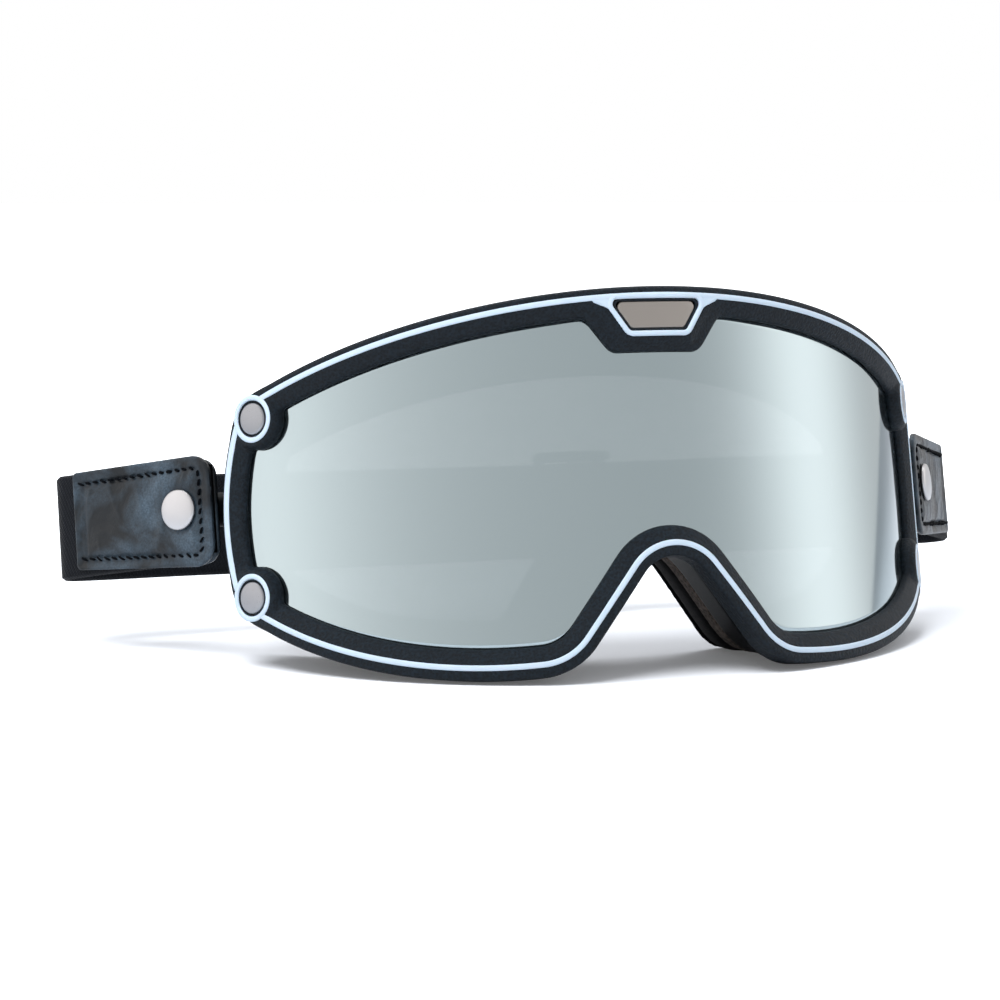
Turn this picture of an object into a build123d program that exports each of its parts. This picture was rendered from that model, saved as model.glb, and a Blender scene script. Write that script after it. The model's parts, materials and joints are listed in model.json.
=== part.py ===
from build123d import *
from math import atan2, cos, degrees, hypot, radians, sin, sqrt
import os

# Motorcycle goggles with a mirrored cylindrical lens, a piped outer frame held by four
# corner rivets, a foam-lined face shell and an elastic head strap on two leather tabs.
#
# Everything is drawn in the goggle frame first: +X to the wearer's left, -Y out through
# the lens, +Z up, origin at the front centre of the frame, midway between the rivets.
# Outlines are drawn flat, as (s, z), and wrapped round a vertical cylinder: s is the arc
# length round it.  At the end the whole is leaned back onto the surface it stands on.

# --- overall sizes -------------------------------------------------------------------
WRAP_RADIUS = 102.3          # radius of the frame's front surface about its vertical axis
TOP_HEIGHT = 43.9            # frame's top edge at the middle
LOW_DEPTH = 44.4             # frame's lowest edge, at each cheek
RIVET_TOP = (100.6, 21.3)    # upper corner rivets
RIVET_LOW = (104.1, -20.3)   # lower corner rivets
CORNER_RADIUS = 5.4
SIDE_RADIUS = 54.0
CHEEK_RADIUS = 132.0
LOBE_RADIUS = 16.9
NOSE_TOP = 18.4              # depth of the nose arch's edge below the rivets' middle
NOSE_RADIUS = 9.6
NOSE_FLANK = 52.0            # slope of the nose's flanks, degrees

# --- bands across the frame's front --------------------------------------------------
BAND_TOP, BAND_SIDE, BAND_LOW = 1.6, 1.1, 2.3     # outside the piping
PIPING_WIDTH = 1.3
PIPING_DEPTH = 1.4
INNER_TOP, INNER_SIDE, INNER_LOW = 3.5, 3.4, 3.6  # between piping and lens
RING_RADIUS = 5.6            # piping round each rivet
CAP_RADIUS = 3.85
CAP_POCKET = 4.1
COLLAR_RADIUS = 7.3          # frame's bump round each rivet, towards the lens

# --- depths behind the front surface -------------------------------------------------
LIP_DEPTH = 3.3              # front surface to the lens
LENS_WALL = 1.5
GASKET_WALL = 1.0
LEDGE_WALL = 2.2             # face shell's front ledge, under the frame
LENS_OVERLAP = 1.9           # lens hidden under the frame's lip
EDGE_GAP = 0.3               # round the lens's edge
LEDGE_INSET = 0.8            # ledge's edge inside the frame's edge
POCKET_DEPTH = 1.5           # rivet cap's pocket
CAP_RISE = 0.1               # rivet cap above the frame's front
CAP_ROUND = 0.9
GASKET_REVEAL = 0.6          # gasket and ledge, clear of the lens opening
LEDGE_REVEAL = 1.2

# --- badge ---------------------------------------------------------------------------
BADGE_TOP_Z, BADGE_LOW_Z = 40.3, 34.0
BADGE_TOP_WIDTH, BADGE_LOW_WIDTH = 21.6, 13.3
BADGE_WALL = 1.2
BADGE_SEAT = 0.3             # plate's face behind the frame's front
BADGE_GAP = 0.35
BADGE_PIPING = 1.5           # piping round the badge
NOTCH_LOW_Z = 28.9           # frame's tab under the badge, at its lower edge
NOTCH_LOW_WIDTH, NOTCH_TOP_WIDTH = 22.5, 35.0

# --- face shell and face pad ---------------------------------------------------------
SHELL_WALL = 2.2
SHELL_INSET = 1.6            # shell's side wall inside the frame's edge, at the front
REAR_INSET = 6.75            # and at the back
REAR_NARROWING = 0.97        # width of the back as a share of the front
BACK_RADIUS = 105.0          # plan curve of the face pad's back
BACK_MIDDLE = 40.0           # its distance behind the frame's front, at the nose
BACK_LEDGE = 1.8
PAD_WIDTH = 8.0             # width of the face pad's rim
VENT_THICKNESS = 2.8         # open mesh strip between shell and foam
FOAM_THICKNESS = 7.0
FLEECE_THICKNESS = 1.5
PAD_START = 1.4              # least room between the shell's ledge and the face pad

# --- rivets --------------------------------------------------------------------------
SHANK_RADIUS = 1.5
SHANK_GAP = 0.05
WASHER_RADIUS = 3.0
WASHER_WALL = 0.6
WASHER_GAP = 0.3             # between a washer and the wall's pocket round it
WASHER_SEAT = 0.06           # a flat washer's lift off the curved ledge

# --- strap tabs ----------------------------------------------------------------------
TAB_SPLAY = 51.5             # tab's direction from the +X axis, degrees
TAB_START = (93.0, 57.0)     # where a tab's outer face passes the frame's edge, in plan
TAB_NEAR, TAB_FAR = 0.6, 42.0
TAB_LOW, TAB_HIGH = -11.9, 14.9
TAB_FAR_LOW, TAB_FAR_HIGH = -8.9, 14.8
TAB_CORNER = 5.0
LEATHER = 1.3
BACKING_INSET = 0.6
NECK_GAP = 0.3               # backing's slot round the tongue's neck
TONGUE_LOW, TONGUE_HIGH = -8.5, 12.5
TONGUE_WALL = 1.6
TONGUE_NEAR, TONGUE_END = 1.3, 15.5
SNAP_ALONG, SNAP_Z = 9.5, 2.4
SNAP_CAP_RADIUS, SNAP_CAP_HEIGHT = 4.85, 1.7
SNAP_POST_RADIUS = 1.6
SNAP_SOCKET_RADIUS = 3.4
SNAP_FLANGE_RADIUS, SNAP_FLANGE = 4.2, 0.9

# --- strap pivots --------------------------------------------------------------------
PIVOT = (63.5, 2.0)          # y and z of the axis that the strap swings about
PIVOT_RADIUS = 2.2
PIVOT_GAP = 0.08
PIVOT_LENGTH = 5.0
NECK_LENGTH = 5.2            # from the bead into the tongue's blade
LUG_WALL = 1.8
LUG_ROOT = 10.0              # lug's stem, trimmed where it meets the shell

# --- elastic strap and its slider ----------------------------------------------------
WEB_WIDTH = 25.0
WEB_WALL = 1.6
WEB_LOW = -10.5
WEB_START = 16.2             # strap's sewn end, along the tab
WEB_TURN = 45.6              # where it turns behind the goggles
TURN_RADIUS = 4.0
SLIDER_X = 16.0
SLIDER_LENGTH = 20.0
SLIDER_RAIL = 2.6
SLIDER_BAR = 3.4
SLIDER_WALL = 1.8
SLIDER_GAP = 0.35
TAIL_LENGTH = 48.0

LENS_BACK = LIP_DEPTH + LENS_WALL
LEDGE_FRONT = LENS_BACK + GASKET_WALL
LEDGE_BACK = LEDGE_FRONT + LEDGE_WALL
FRONT_PLANE = -6.0           # planes that the wrapped cutters run between
REAR_PLANE = 82.0
TALL = 160.0
THROUGH = 0.5                # how far a cutter runs past what it cuts


# --- flat outline --------------------------------------------------------------------
def along_arc(centre, radius, start, end, count):
    """Points of an arc between two directions, in degrees, the short way round."""
    turn = (end - start + 180.0) % 360.0 - 180.0
    angles = [radians(start + turn * i / (count - 1)) for i in range(count)]
    return [(centre[0] + radius * cos(a), centre[1] + radius * sin(a)) for a in angles]


def heading(a, b):
    return degrees(atan2(b[1] - a[1], b[0] - a[0]))


def crossing(c1, r1, c2, r2, near):
    """The point where two circles cross that lies nearest to a given point."""
    gap = hypot(c2[0] - c1[0], c2[1] - c1[1])
    a = (r1 * r1 - r2 * r2 + gap * gap) / (2 * gap)
    h = sqrt(max(r1 * r1 - a * a, 0.0))
    ux, uz = (c2[0] - c1[0]) / gap, (c2[1] - c1[1]) / gap
    both = [(c1[0] + a * ux - k * h * uz, c1[1] + a * uz + k * h * ux) for k in (1, -1)]
    return min(both, key=lambda p: hypot(p[0] - near[0], p[1] - near[1]))


def arc_centres():
    """Centres of the outline's arcs, each touching its neighbours."""
    drop = TOP_HEIGHT - RIVET_TOP[1]
    top_radius = (RIVET_TOP[0] ** 2 + drop**2 - CORNER_RADIUS**2) / (2 * (drop - CORNER_RADIUS))
    side_reach = SIDE_RADIUS - CORNER_RADIUS
    side = crossing(RIVET_TOP, side_reach, RIVET_LOW, side_reach, (0.0, 0.0))
    cheek_z = CHEEK_RADIUS - LOW_DEPTH
    cheek_reach = CHEEK_RADIUS - CORNER_RADIUS
    cheek_s = RIVET_LOW[0] - sqrt(cheek_reach**2 - (cheek_z - RIVET_LOW[1]) ** 2)
    nose = (0.0, -NOSE_TOP - NOSE_RADIUS)
    nx, nz = sin(radians(NOSE_FLANK)), cos(radians(NOSE_FLANK))
    # the lobe's circle touches the flank, on its frame side, and the cheek's circle
    reach = CHEEK_RADIUS - LOBE_RADIUS
    ox = nose[0] + (NOSE_RADIUS + LOBE_RADIUS) * nx - cheek_s
    oz = nose[1] + (NOSE_RADIUS + LOBE_RADIUS) * nz - cheek_z
    half = ox * nz - oz * nx
    run = -half + sqrt(half**2 - (ox**2 + oz**2 - reach**2))
    lobe = (cheek_s + ox + run * nz, cheek_z + oz - run * nx)
    return {
        "top": ((0.0, TOP_HEIGHT - top_radius), top_radius),
        "side": (side, SIDE_RADIUS),
        "cheek": ((cheek_s, cheek_z), CHEEK_RADIUS),
        "lobe": (lobe, LOBE_RADIUS),
        "nose": (nose, NOSE_RADIUS),
    }


ARCS = arc_centres()


def outline(top, side, low, corner=0.0):
    """The closed outline, inset by three amounts, as runs of flat points.

    corner is the radius left at the rivets; 0 leaves the arcs to cross there."""
    (ct, rt), (cs, rs), (cc, rc) = ARCS["top"], ARCS["side"], ARCS["cheek"]
    (cl, rl), (cn, rn) = ARCS["lobe"], ARCS["nose"]
    rt, rs, rc, rl, rn = rt - top, rs - side, rc - low, rl - low, rn + low
    right = []
    if corner > 0.0:
        upper_a, upper_b = heading(ct, RIVET_TOP), heading(cs, RIVET_TOP)
        lower_a, lower_b = heading(cs, RIVET_LOW), heading(cc, RIVET_LOW)
        right.append(along_arc(RIVET_TOP, corner, upper_a, upper_b, 5))
        right.append(along_arc(cs, rs, upper_b, lower_a, 7))
        right.append(along_arc(RIVET_LOW, corner, lower_a, lower_b, 5))
    else:
        upper = crossing(ct, rt, cs, rs, RIVET_TOP)
        lower = crossing(cs, rs, cc, rc, RIVET_LOW)
        upper_a, lower_b = heading(ct, upper), heading(cc, lower)
        right.append(along_arc(cs, rs, heading(cs, upper), heading(cs, lower), 7))
    flank = 90.0 - NOSE_FLANK
    right.append(along_arc(cc, rc, lower_b, heading(cc, cl), 8))
    right.append(along_arc(cl, rl, heading(cc, cl), flank - 180.0, 6))
    foot = right[-1][-1]
    head = (cn[0] + rn * cos(radians(flank)), cn[1] + rn * sin(radians(flank)))
    right.append([foot, ((foot[0] + head[0]) / 2, (foot[1] + head[1]) / 2), head])
    left = [[(-s, z) for s, z in reversed(run)] for run in reversed(right)]
    crown = along_arc(ct, rt, 180.0 - upper_a, upper_a, 15)
    bridge = along_arc(cn, rn, flank, 180.0 - flank, 7)
    return [crown] + right + [bridge] + left


# --- wrapping the flat outline ---------------------------------------------------------
def wrapped(s, z, depth=0.0):
    """A flat point put on the cylinder, a depth behind the frame's front surface."""
    radius = WRAP_RADIUS - depth
    angle = s / WRAP_RADIUS
    return Vector(radius * sin(angle), WRAP_RADIUS - radius * cos(angle), z)


def back_y(x, forward=0.0):
    """Distance back to the face pad's rear surface, or to one parallel in front of it."""
    radius = BACK_RADIUS + forward
    return BACK_MIDDLE + BACK_RADIUS - sqrt(radius**2 - x * x)


def ruled_solid(pairs):
    """A solid whose sides are the straight lines through pairs of points, run by run."""
    loops = []
    for plane in (FRONT_PLANE, REAR_PLANE):
        edges = []
        for run in pairs:
            points = []
            for a, b in run:
                t = (plane - a.Y) / (b.Y - a.Y)
                points.append(a + (b - a) * t)
            steps = [i / (len(points) - 1) for i in range(len(points))]
            edges.append(Edge.make_spline(points, parameters=steps))
        loops.append(Wire(edges))
    return Solid.make_loft(loops, ruled=True)


def radial_cutter(runs):
    """A flat outline carried straight in towards the cylinder's axis."""
    return ruled_solid([[(wrapped(s, z), wrapped(s, z, 60.0)) for s, z in run] for run in runs])


def wall_cutter(front_inset, rear_inset, thin=0.0):
    """The face shell's tapering side wall: an outline in front, a smaller one behind."""
    def runs(inset):
        return outline(inset, inset, inset)

    pairs = []
    for front, rear in zip(runs(front_inset + thin), runs(rear_inset + thin)):
        run = []
        for (s, z), (sb, zb) in zip(front, rear):
            a = wrapped(s, z, LEDGE_BACK)
            x = wrapped(sb, zb, LEDGE_BACK).X * REAR_NARROWING
            run.append((a, Vector(x, back_y(x), zb)))
        pairs.append(run)
    return ruled_solid(pairs)


def upright(radius, centre_y):
    return Pos(0, centre_y, 0) * Cylinder(radius, TALL)


def between(front_depth, back_depth):
    """The layer of the wrap cylinder between two depths."""
    outer = upright(WRAP_RADIUS - front_depth, WRAP_RADIUS)
    return outer - upright(WRAP_RADIUS - back_depth, WRAP_RADIUS)


def ahead_of_back(forward):
    """All that lies in front of a surface parallel to the face pad's back."""
    block = Pos(0, BACK_MIDDLE, 0) * Box(2.6 * WRAP_RADIUS, 2 * TALL, TALL)
    return block - upright(BACK_RADIUS + forward, BACK_MIDDLE + BACK_RADIUS)


def spoke(spot, radius, front_depth, back_depth):
    """A round bar through a flat point, square to the wrapped surface."""
    a, b = wrapped(*spot, front_depth), wrapped(*spot, back_depth)
    return Solid.make_cylinder(radius, (b - a).length, Plane(a, z_dir=(b - a)))


def corners(make):
    """The same piece at each of the four rivets."""
    spots = [(k * s, z) for s, z in (RIVET_TOP, RIVET_LOW) for k in (1, -1)]
    return [make(spot) for spot in spots]


def trapezoid(top_z, low_z, top_width, low_width, front_depth, back_depth):
    """A wrapped trapezoid bar, wider at the top, between two depths."""
    half_top, half_low = top_width / 2, low_width / 2
    spots = [(-half_top, top_z), (half_top, top_z), (half_low, low_z), (-half_low, low_z)]
    runs = []
    for (s1, z1), (s2, z2) in zip(spots, spots[1:] + spots[:1]):
        runs.append([(s1 + (s2 - s1) * i / 4, z1 + (z2 - z1) * i / 4) for i in range(5)])
    return radial_cutter(runs) & between(front_depth, back_depth)


def grown_trapezoid(grow, front_depth, back_depth):
    """The badge's trapezoid, grown by a margin all round."""
    lean = (BADGE_TOP_WIDTH - BADGE_LOW_WIDTH) / 2 / (BADGE_TOP_Z - BADGE_LOW_Z)
    side = grow * sqrt(1 + lean * lean)
    top = BADGE_TOP_WIDTH + 2 * (side + grow * lean)
    low = BADGE_LOW_WIDTH + 2 * (side - grow * lean)
    return trapezoid(BADGE_TOP_Z + grow, BADGE_LOW_Z - grow, top, low, front_depth, back_depth)


def single(shape):
    """The one solid of a shape, or a group of its solids."""
    solids = shape.solids()
    return solids[0] if len(solids) == 1 else Compound(children=list(solids))


# --- front ---------------------------------------------------------------------------
WINDOW = (
    BAND_TOP + PIPING_WIDTH + INNER_TOP,
    BAND_SIDE + PIPING_WIDTH + INNER_SIDE,
    BAND_LOW + PIPING_WIDTH + INNER_LOW,
)
EDGE_CUTTER = radial_cutter(outline(0, 0, 0, corner=CORNER_RADIUS))


def window_cutter(overlap, deep):
    """The lens opening, widened by an overlap, with its corner bumps and badge notch."""
    opening = radial_cutter(outline(*[inset - overlap for inset in WINDOW]))
    for bump in corners(lambda spot: spoke(spot, COLLAR_RADIUS - overlap, -5.0, deep)):
        opening = opening - bump
    top_z = TOP_HEIGHT + 2.0
    slope = (NOTCH_TOP_WIDTH - NOTCH_LOW_WIDTH) / (TOP_HEIGHT - WINDOW[0] - NOTCH_LOW_Z)
    low_z = NOTCH_LOW_Z + overlap
    low_width = NOTCH_LOW_WIDTH
    top_width = low_width + slope * (top_z - low_z)
    return opening - trapezoid(top_z, low_z, top_width, low_width, -5.0, deep)


def piping_tool():
    """The inlaid piping's groove: a band, a ring at each rivet and the badge surround."""
    band = radial_cutter(outline(BAND_TOP, BAND_SIDE, BAND_LOW))
    width = PIPING_WIDTH
    band = band - radial_cutter(outline(BAND_TOP + width, BAND_SIDE + width, BAND_LOW + width))
    band = band & between(-THROUGH, PIPING_DEPTH)
    for ring in corners(lambda spot: spoke(spot, RING_RADIUS, -THROUGH, PIPING_DEPTH)):
        band = band + ring
    band = band + grown_trapezoid(BADGE_GAP + BADGE_PIPING, -THROUGH, PIPING_DEPTH)
    band = band - grown_trapezoid(BADGE_GAP, -2 * THROUGH, PIPING_DEPTH + THROUGH)
    for pocket in corners(lambda spot: spoke(
            spot, CAP_POCKET, -2 * THROUGH, PIPING_DEPTH + THROUGH)):
        band = band - pocket
    return band


def make_front():
    nodes = {}
    lens_edge = window_cutter(LENS_OVERLAP, LEDGE_BACK)
    blank = EDGE_CUTTER & between(0.0, LEDGE_FRONT)
    blank = blank - window_cutter(0.0, LEDGE_BACK)
    blank = blank - (window_cutter(LENS_OVERLAP + EDGE_GAP, LEDGE_BACK)
                     & between(LIP_DEPTH, LEDGE_FRONT + 2 * THROUGH))
    tool = piping_tool()
    nodes["piping_trim"] = blank & tool
    frame = blank - tool - grown_trapezoid(BADGE_GAP, -THROUGH, BADGE_WALL + BADGE_SEAT)
    for pocket in corners(lambda spot: spoke(spot, CAP_POCKET, -THROUGH, POCKET_DEPTH)):
        frame = frame - pocket
    hole = SHANK_RADIUS + SHANK_GAP
    for bore in corners(lambda spot: spoke(spot, hole, THROUGH, LEDGE_FRONT + THROUGH)):
        frame = frame - bore
    nodes["outer_frame"] = frame
    nodes["lens"] = lens_edge & between(LIP_DEPTH, LENS_BACK)
    inner = window_cutter(-GASKET_REVEAL, LEDGE_BACK + 2 * THROUGH)
    nodes["lens_gasket"] = (lens_edge & between(LENS_BACK, LEDGE_FRONT)) - inner
    nodes["badge_plate"] = grown_trapezoid(0.0, BADGE_SEAT, BADGE_WALL + BADGE_SEAT)
    nodes["rivet_caps"] = Compound(children=corners(rivet_cap))
    washer_back = LEDGE_BACK + WASHER_SEAT + WASHER_WALL
    nodes["rivet_shanks"] = Compound(children=corners(
        lambda spot: spoke(spot, SHANK_RADIUS, POCKET_DEPTH, washer_back)))
    nodes["rivet_washers"] = Compound(children=corners(
        lambda spot: spoke(spot, WASHER_RADIUS, LEDGE_BACK + WASHER_SEAT, washer_back)
        - spoke(spot, SHANK_RADIUS, LEDGE_BACK - 1.0, LEDGE_BACK + 1.0)))
    return nodes


def rivet_cap(spot):
    """A low domed cap that fills its pocket's depth."""
    cap = spoke(spot, CAP_RADIUS, -CAP_RISE, POCKET_DEPTH)
    rim = cap.edges().filter_by(GeomType.CIRCLE).sort_by_distance(wrapped(*spot, -3.0))
    return cap.fillet(CAP_ROUND, rim[:1])


# --- face shell and pad --------------------------------------------------------------
def make_face_parts():
    nodes = {}
    pad_depth = VENT_THICKNESS + FOAM_THICKNESS + FLEECE_THICKNESS
    outer = wall_cutter(SHELL_INSET, REAR_INSET)
    hollow = wall_cutter(SHELL_INSET, REAR_INSET, SHELL_WALL)
    rim_hole = wall_cutter(REAR_INSET + PAD_WIDTH, REAR_INSET + PAD_WIDTH)
    behind_ledge = upright(WRAP_RADIUS - LEDGE_BACK, WRAP_RADIUS)
    shell = outer & behind_ledge & ahead_of_back(pad_depth)
    shell = shell - (hollow & ahead_of_back(pad_depth + BACK_LEDGE)) - rim_hole
    for pocket in corners(lambda spot: spoke(
            spot, WASHER_RADIUS + WASHER_GAP, LEDGE_BACK - THROUGH,
            LEDGE_BACK + WASHER_WALL + 2 * WASHER_GAP)):
        shell = shell - pocket
    ledge = radial_cutter(outline(LEDGE_INSET, LEDGE_INSET, LEDGE_INSET,
                                  corner=CORNER_RADIUS - LEDGE_INSET))
    ledge = ledge - window_cutter(-LEDGE_REVEAL, LEDGE_BACK + 2 * THROUGH)
    ledge = ledge & between(LEDGE_FRONT, LEDGE_BACK)
    hole = SHANK_RADIUS + SHANK_GAP
    for bore in corners(lambda spot: spoke(
            spot, hole, LEDGE_FRONT - THROUGH, LEDGE_BACK + THROUGH)):
        ledge = ledge - bore
    shell = shell + ledge
    nodes["face_shell"] = shell
    rim = (outer - rim_hole) & upright(WRAP_RADIUS - LEDGE_BACK - PAD_START, WRAP_RADIUS)
    front = pad_depth
    for name, thickness in (("vent_mesh", VENT_THICKNESS), ("face_foam", FOAM_THICKNESS),
                            ("fleece_lining", FLEECE_THICKNESS)):
        back = front - thickness
        nodes[name] = (rim & ahead_of_back(back)) - ahead_of_back(front)
        front = back
    return nodes


# --- strap tab, on the +X side ---------------------------------------------------------
TAB_U = Vector(cos(radians(TAB_SPLAY)), sin(radians(TAB_SPLAY)), 0)
TAB_N = Vector(sin(radians(TAB_SPLAY)), -cos(radians(TAB_SPLAY)), 0)


def tab_plane(level=0.0):
    """The tab's outer face, or a plane that much outside it: x runs along, y runs up."""
    origin = Vector(TAB_START[0], TAB_START[1], 0) + TAB_N * level
    return Plane(origin, x_dir=TAB_U, z_dir=TAB_N)


def leather(level, inset=0.0):
    """One leather layer: corners rounded at the frame end, tapering to the far end."""
    near, far = TAB_NEAR + inset, TAB_FAR - inset
    low, high = TAB_LOW + inset, TAB_HIGH - inset
    far_low, far_high = TAB_FAR_LOW + inset, TAB_FAR_HIGH - inset
    shape = Polyline((near, low), (far, far_low), (far, far_high), (near, high), close=True)
    face = make_face(shape)
    near_corners = face.vertices().sort_by(Axis.X)[:2]
    far_corners = face.vertices().sort_by(Axis.X)[2:]
    face = fillet(near_corners, TAB_CORNER)
    face = fillet([v for v in face.vertices() if v.X > far - 0.01], 1.2)
    sheet = extrude(tab_plane(level) * face, amount=-LEATHER, dir=tuple(TAB_N))
    return sheet


def on_tab(level, radius, height):
    """A round bar on the snap's axis, from a level outwards."""
    plane = tab_plane(level)
    plane.origin = plane.origin + TAB_U * SNAP_ALONG + Vector(0, 0, SNAP_Z)
    return Solid.make_cylinder(radius, height, plane)


def make_tab():
    nodes = {}
    middle = -LEATHER
    inner = middle - TONGUE_WALL
    nodes["snap_socket"] = (on_tab(-LEATHER, SNAP_SOCKET_RADIUS, LEATHER)
                            - on_tab(-LEATHER - 1, SNAP_POST_RADIUS, LEATHER + 2))
    nodes["leather_patch"] = leather(0.0) - on_tab(-LEATHER - 1, SNAP_SOCKET_RADIUS, LEATHER + 2)
    backing = leather(inner, BACKING_INSET)
    backing = backing - on_tab(inner - LEATHER - 1, SNAP_POST_RADIUS, LEATHER + 2)
    nodes["leather_backing"] = backing - bead(
        tongue_root() - PIVOT_LENGTH, PIVOT_LENGTH + NECK_LENGTH + 1.0, PIVOT_RADIUS + NECK_GAP)
    cap = on_tab(0.0, SNAP_CAP_RADIUS, SNAP_CAP_HEIGHT)
    crown = cap.edges().filter_by(GeomType.CIRCLE).sort_by_distance(
        Vector(*cap.center()) + TAB_N * 9.0)
    nodes["snap_cap"] = cap.fillet(SNAP_CAP_HEIGHT * 0.75, crown[:1])
    foot = inner - LEATHER
    post = on_tab(foot, SNAP_POST_RADIUS, -foot)
    nodes["snap_stud"] = post + on_tab(foot - SNAP_FLANGE, SNAP_FLANGE_RADIUS, SNAP_FLANGE)
    nodes["side_tongue"] = make_tongue(middle, inner)
    return nodes


def bead(start_x, length, radius):
    """A round bar on the pivot's axis."""
    bar = Cylinder(radius, length, align=(Align.CENTER, Align.CENTER, Align.MIN))
    return Pos(start_x, *PIVOT) * Rot(0, 90, 0) * bar


def tongue_root():
    """Where the tongue's inner face starts, which is where its neck and bead meet."""
    inner_level = -LEATHER - TONGUE_WALL
    return (Vector(*TAB_START, 0) + TAB_U * TONGUE_NEAR + TAB_N * inner_level).X


def make_tongue(outer_level, inner_level):
    """The frame's tongue inside the tab, with the bead that it swings on."""
    length, height = TONGUE_END - TONGUE_NEAR, TONGUE_HIGH - TONGUE_LOW
    blade = Rectangle(length, height, align=(Align.MIN, Align.MIN))
    blade = Pos(TONGUE_NEAR, TONGUE_LOW, 0) * blade
    blade = extrude(tab_plane(outer_level) * blade, amount=-TONGUE_WALL, dir=tuple(TAB_N))
    outside = extrude(tab_plane(outer_level) * Rectangle(60, 60), amount=20.0, dir=tuple(TAB_N))
    neck = bead(tongue_root() - PIVOT_LENGTH, PIVOT_LENGTH + NECK_LENGTH, PIVOT_RADIUS) - outside
    neck = neck - on_tab(inner_level - 10.0, SNAP_FLANGE_RADIUS + NECK_GAP, 10.0)
    return blade + neck - on_tab(inner_level - 1, SNAP_POST_RADIUS, TONGUE_WALL + 2)


# --- pivot lug, on the +X side ---------------------------------------------------------
def make_lug():
    """A lug on the face shell's side wall with the cup that the tongue's bead turns in."""
    floor_x = tongue_root() - PIVOT_LENGTH - PIVOT_GAP
    radius = PIVOT_RADIUS + PIVOT_GAP
    start = floor_x - LUG_WALL - LUG_ROOT
    lug = bead(start, LUG_ROOT + LUG_WALL + PIVOT_LENGTH - 1.0, radius + LUG_WALL)
    lug = lug - bead(floor_x, 2 * PIVOT_LENGTH, radius)
    lug = lug - wall_cutter(SHELL_INSET, REAR_INSET)
    return lug - (EDGE_CUTTER & between(-1.0, LEDGE_BACK))


# --- elastic strap ---------------------------------------------------------------------
def strap_path(offset):
    """Plan line of the webbing, from its sewn end in the tab to the rear stretch's middle."""
    middle = -LEATHER - WEB_WALL / 2
    level = TAB_N * middle
    start = Vector(*TAB_START, 0) + level + TAB_U * WEB_START
    turn = Vector(*TAB_START, 0) + level + TAB_U * WEB_TURN
    centre = turn - TAB_N * TURN_RADIUS
    radius = TURN_RADIUS + offset
    out = TAB_N * offset
    arc_end = centre + Vector(0, radius, 0)
    half = radians(-90 + TAB_SPLAY + (180 - TAB_SPLAY) / 2)
    arc_middle = centre + Vector(radius * cos(half), radius * sin(half), 0)
    return start + out, turn + out, arc_middle, arc_end


def rear_y():
    """Distance back to the middle of the webbing's rear stretch."""
    return strap_path(0.0)[3].Y


def make_strap():
    """The webbing's right half in plan, thickened, and its mirror image, as one band."""
    half = WEB_WALL / 2
    a1, a2, am, a3 = strap_path(half)
    b1, b2, bm, b3 = strap_path(-half)
    end_a, end_b = Vector(0, a3.Y, 0), Vector(0, b3.Y, 0)
    plan = Wire([
        Line(a1, a2), ThreePointArc(a2, am, a3), Line(a3, end_a), Line(end_a, end_b),
        Line(end_b, b3), ThreePointArc(b3, bm, b2), Line(b2, b1), Line(b1, a1),
    ])
    band = Pos(0, 0, WEB_LOW) * Solid.extrude(Face(plan), Vector(0, 0, WEB_WIDTH))
    return band + mirror(band, about=Plane.YZ)


def make_slider():
    """A wire-thin frame round the webbing, its middle bar, and the strap's loose tail."""
    y = rear_y()
    high = WEB_LOW + WEB_WIDTH
    centre_z = (WEB_LOW + high) / 2
    deep = 2 * WEB_WALL + 3 * SLIDER_GAP + SLIDER_WALL
    y_mid = y + WEB_WALL / 2 + SLIDER_GAP / 2
    tall = WEB_WIDTH + 2 * (SLIDER_GAP + SLIDER_RAIL)
    block = Box(SLIDER_LENGTH, deep, tall)
    block = fillet(block.edges().filter_by(Axis.Y), 2.2)
    window = Box(SLIDER_LENGTH - 2 * SLIDER_BAR, 3 * deep, WEB_WIDTH + 2 * SLIDER_GAP)
    passage = Box(2 * SLIDER_LENGTH, 2 * WEB_WALL + 3 * SLIDER_GAP, WEB_WIDTH + 2 * SLIDER_GAP)
    frame = Pos(SLIDER_X, y_mid, centre_z) * (block - window)
    passage_y = y - WEB_WALL / 2 - SLIDER_GAP + WEB_WALL + 1.5 * SLIDER_GAP
    frame = frame - Pos(SLIDER_X, passage_y, centre_z) * passage
    bar_y = y + WEB_WALL / 2 + SLIDER_GAP + WEB_WALL / 2
    bar = Pos(SLIDER_X, bar_y, centre_z) * Cylinder(WEB_WALL / 2, WEB_WIDTH + 2 * SLIDER_GAP)
    tail = Box(TAIL_LENGTH, WEB_WALL, WEB_WIDTH, align=(Align.MIN, Align.CENTER, Align.CENTER))
    tail = Pos(SLIDER_X + WEB_WALL / 2, bar_y, centre_z) * tail
    return {"slider_frame": frame, "slider_bar": bar, "strap_tail": tail}


# --- resting pose ----------------------------------------------------------------------
def rest_lean():
    """The angle at which the cheeks and the face pad's lower edge both touch a surface."""
    front = [wrapped(s, z, LEDGE_FRONT) for run in outline(0, 0, 0)[2:5] for s, z in run]
    rear = []
    for run in outline(REAR_INSET, REAR_INSET, REAR_INSET)[2:5]:
        for s, z in run:
            x = wrapped(s, z, LEDGE_BACK).X * REAR_NARROWING
            rear.append(Vector(x, back_y(x), z))
    low, high = 0.0, 40.0
    for _ in range(40):
        angle = radians((low + high) / 2)
        drop = [min(-p.Y * sin(angle) + p.Z * cos(angle) for p in points)
                for points in (front, rear)]
        if drop[1] > drop[0]:
            low = degrees(angle)
        else:
            high = degrees(angle)
    return (low + high) / 2


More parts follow.
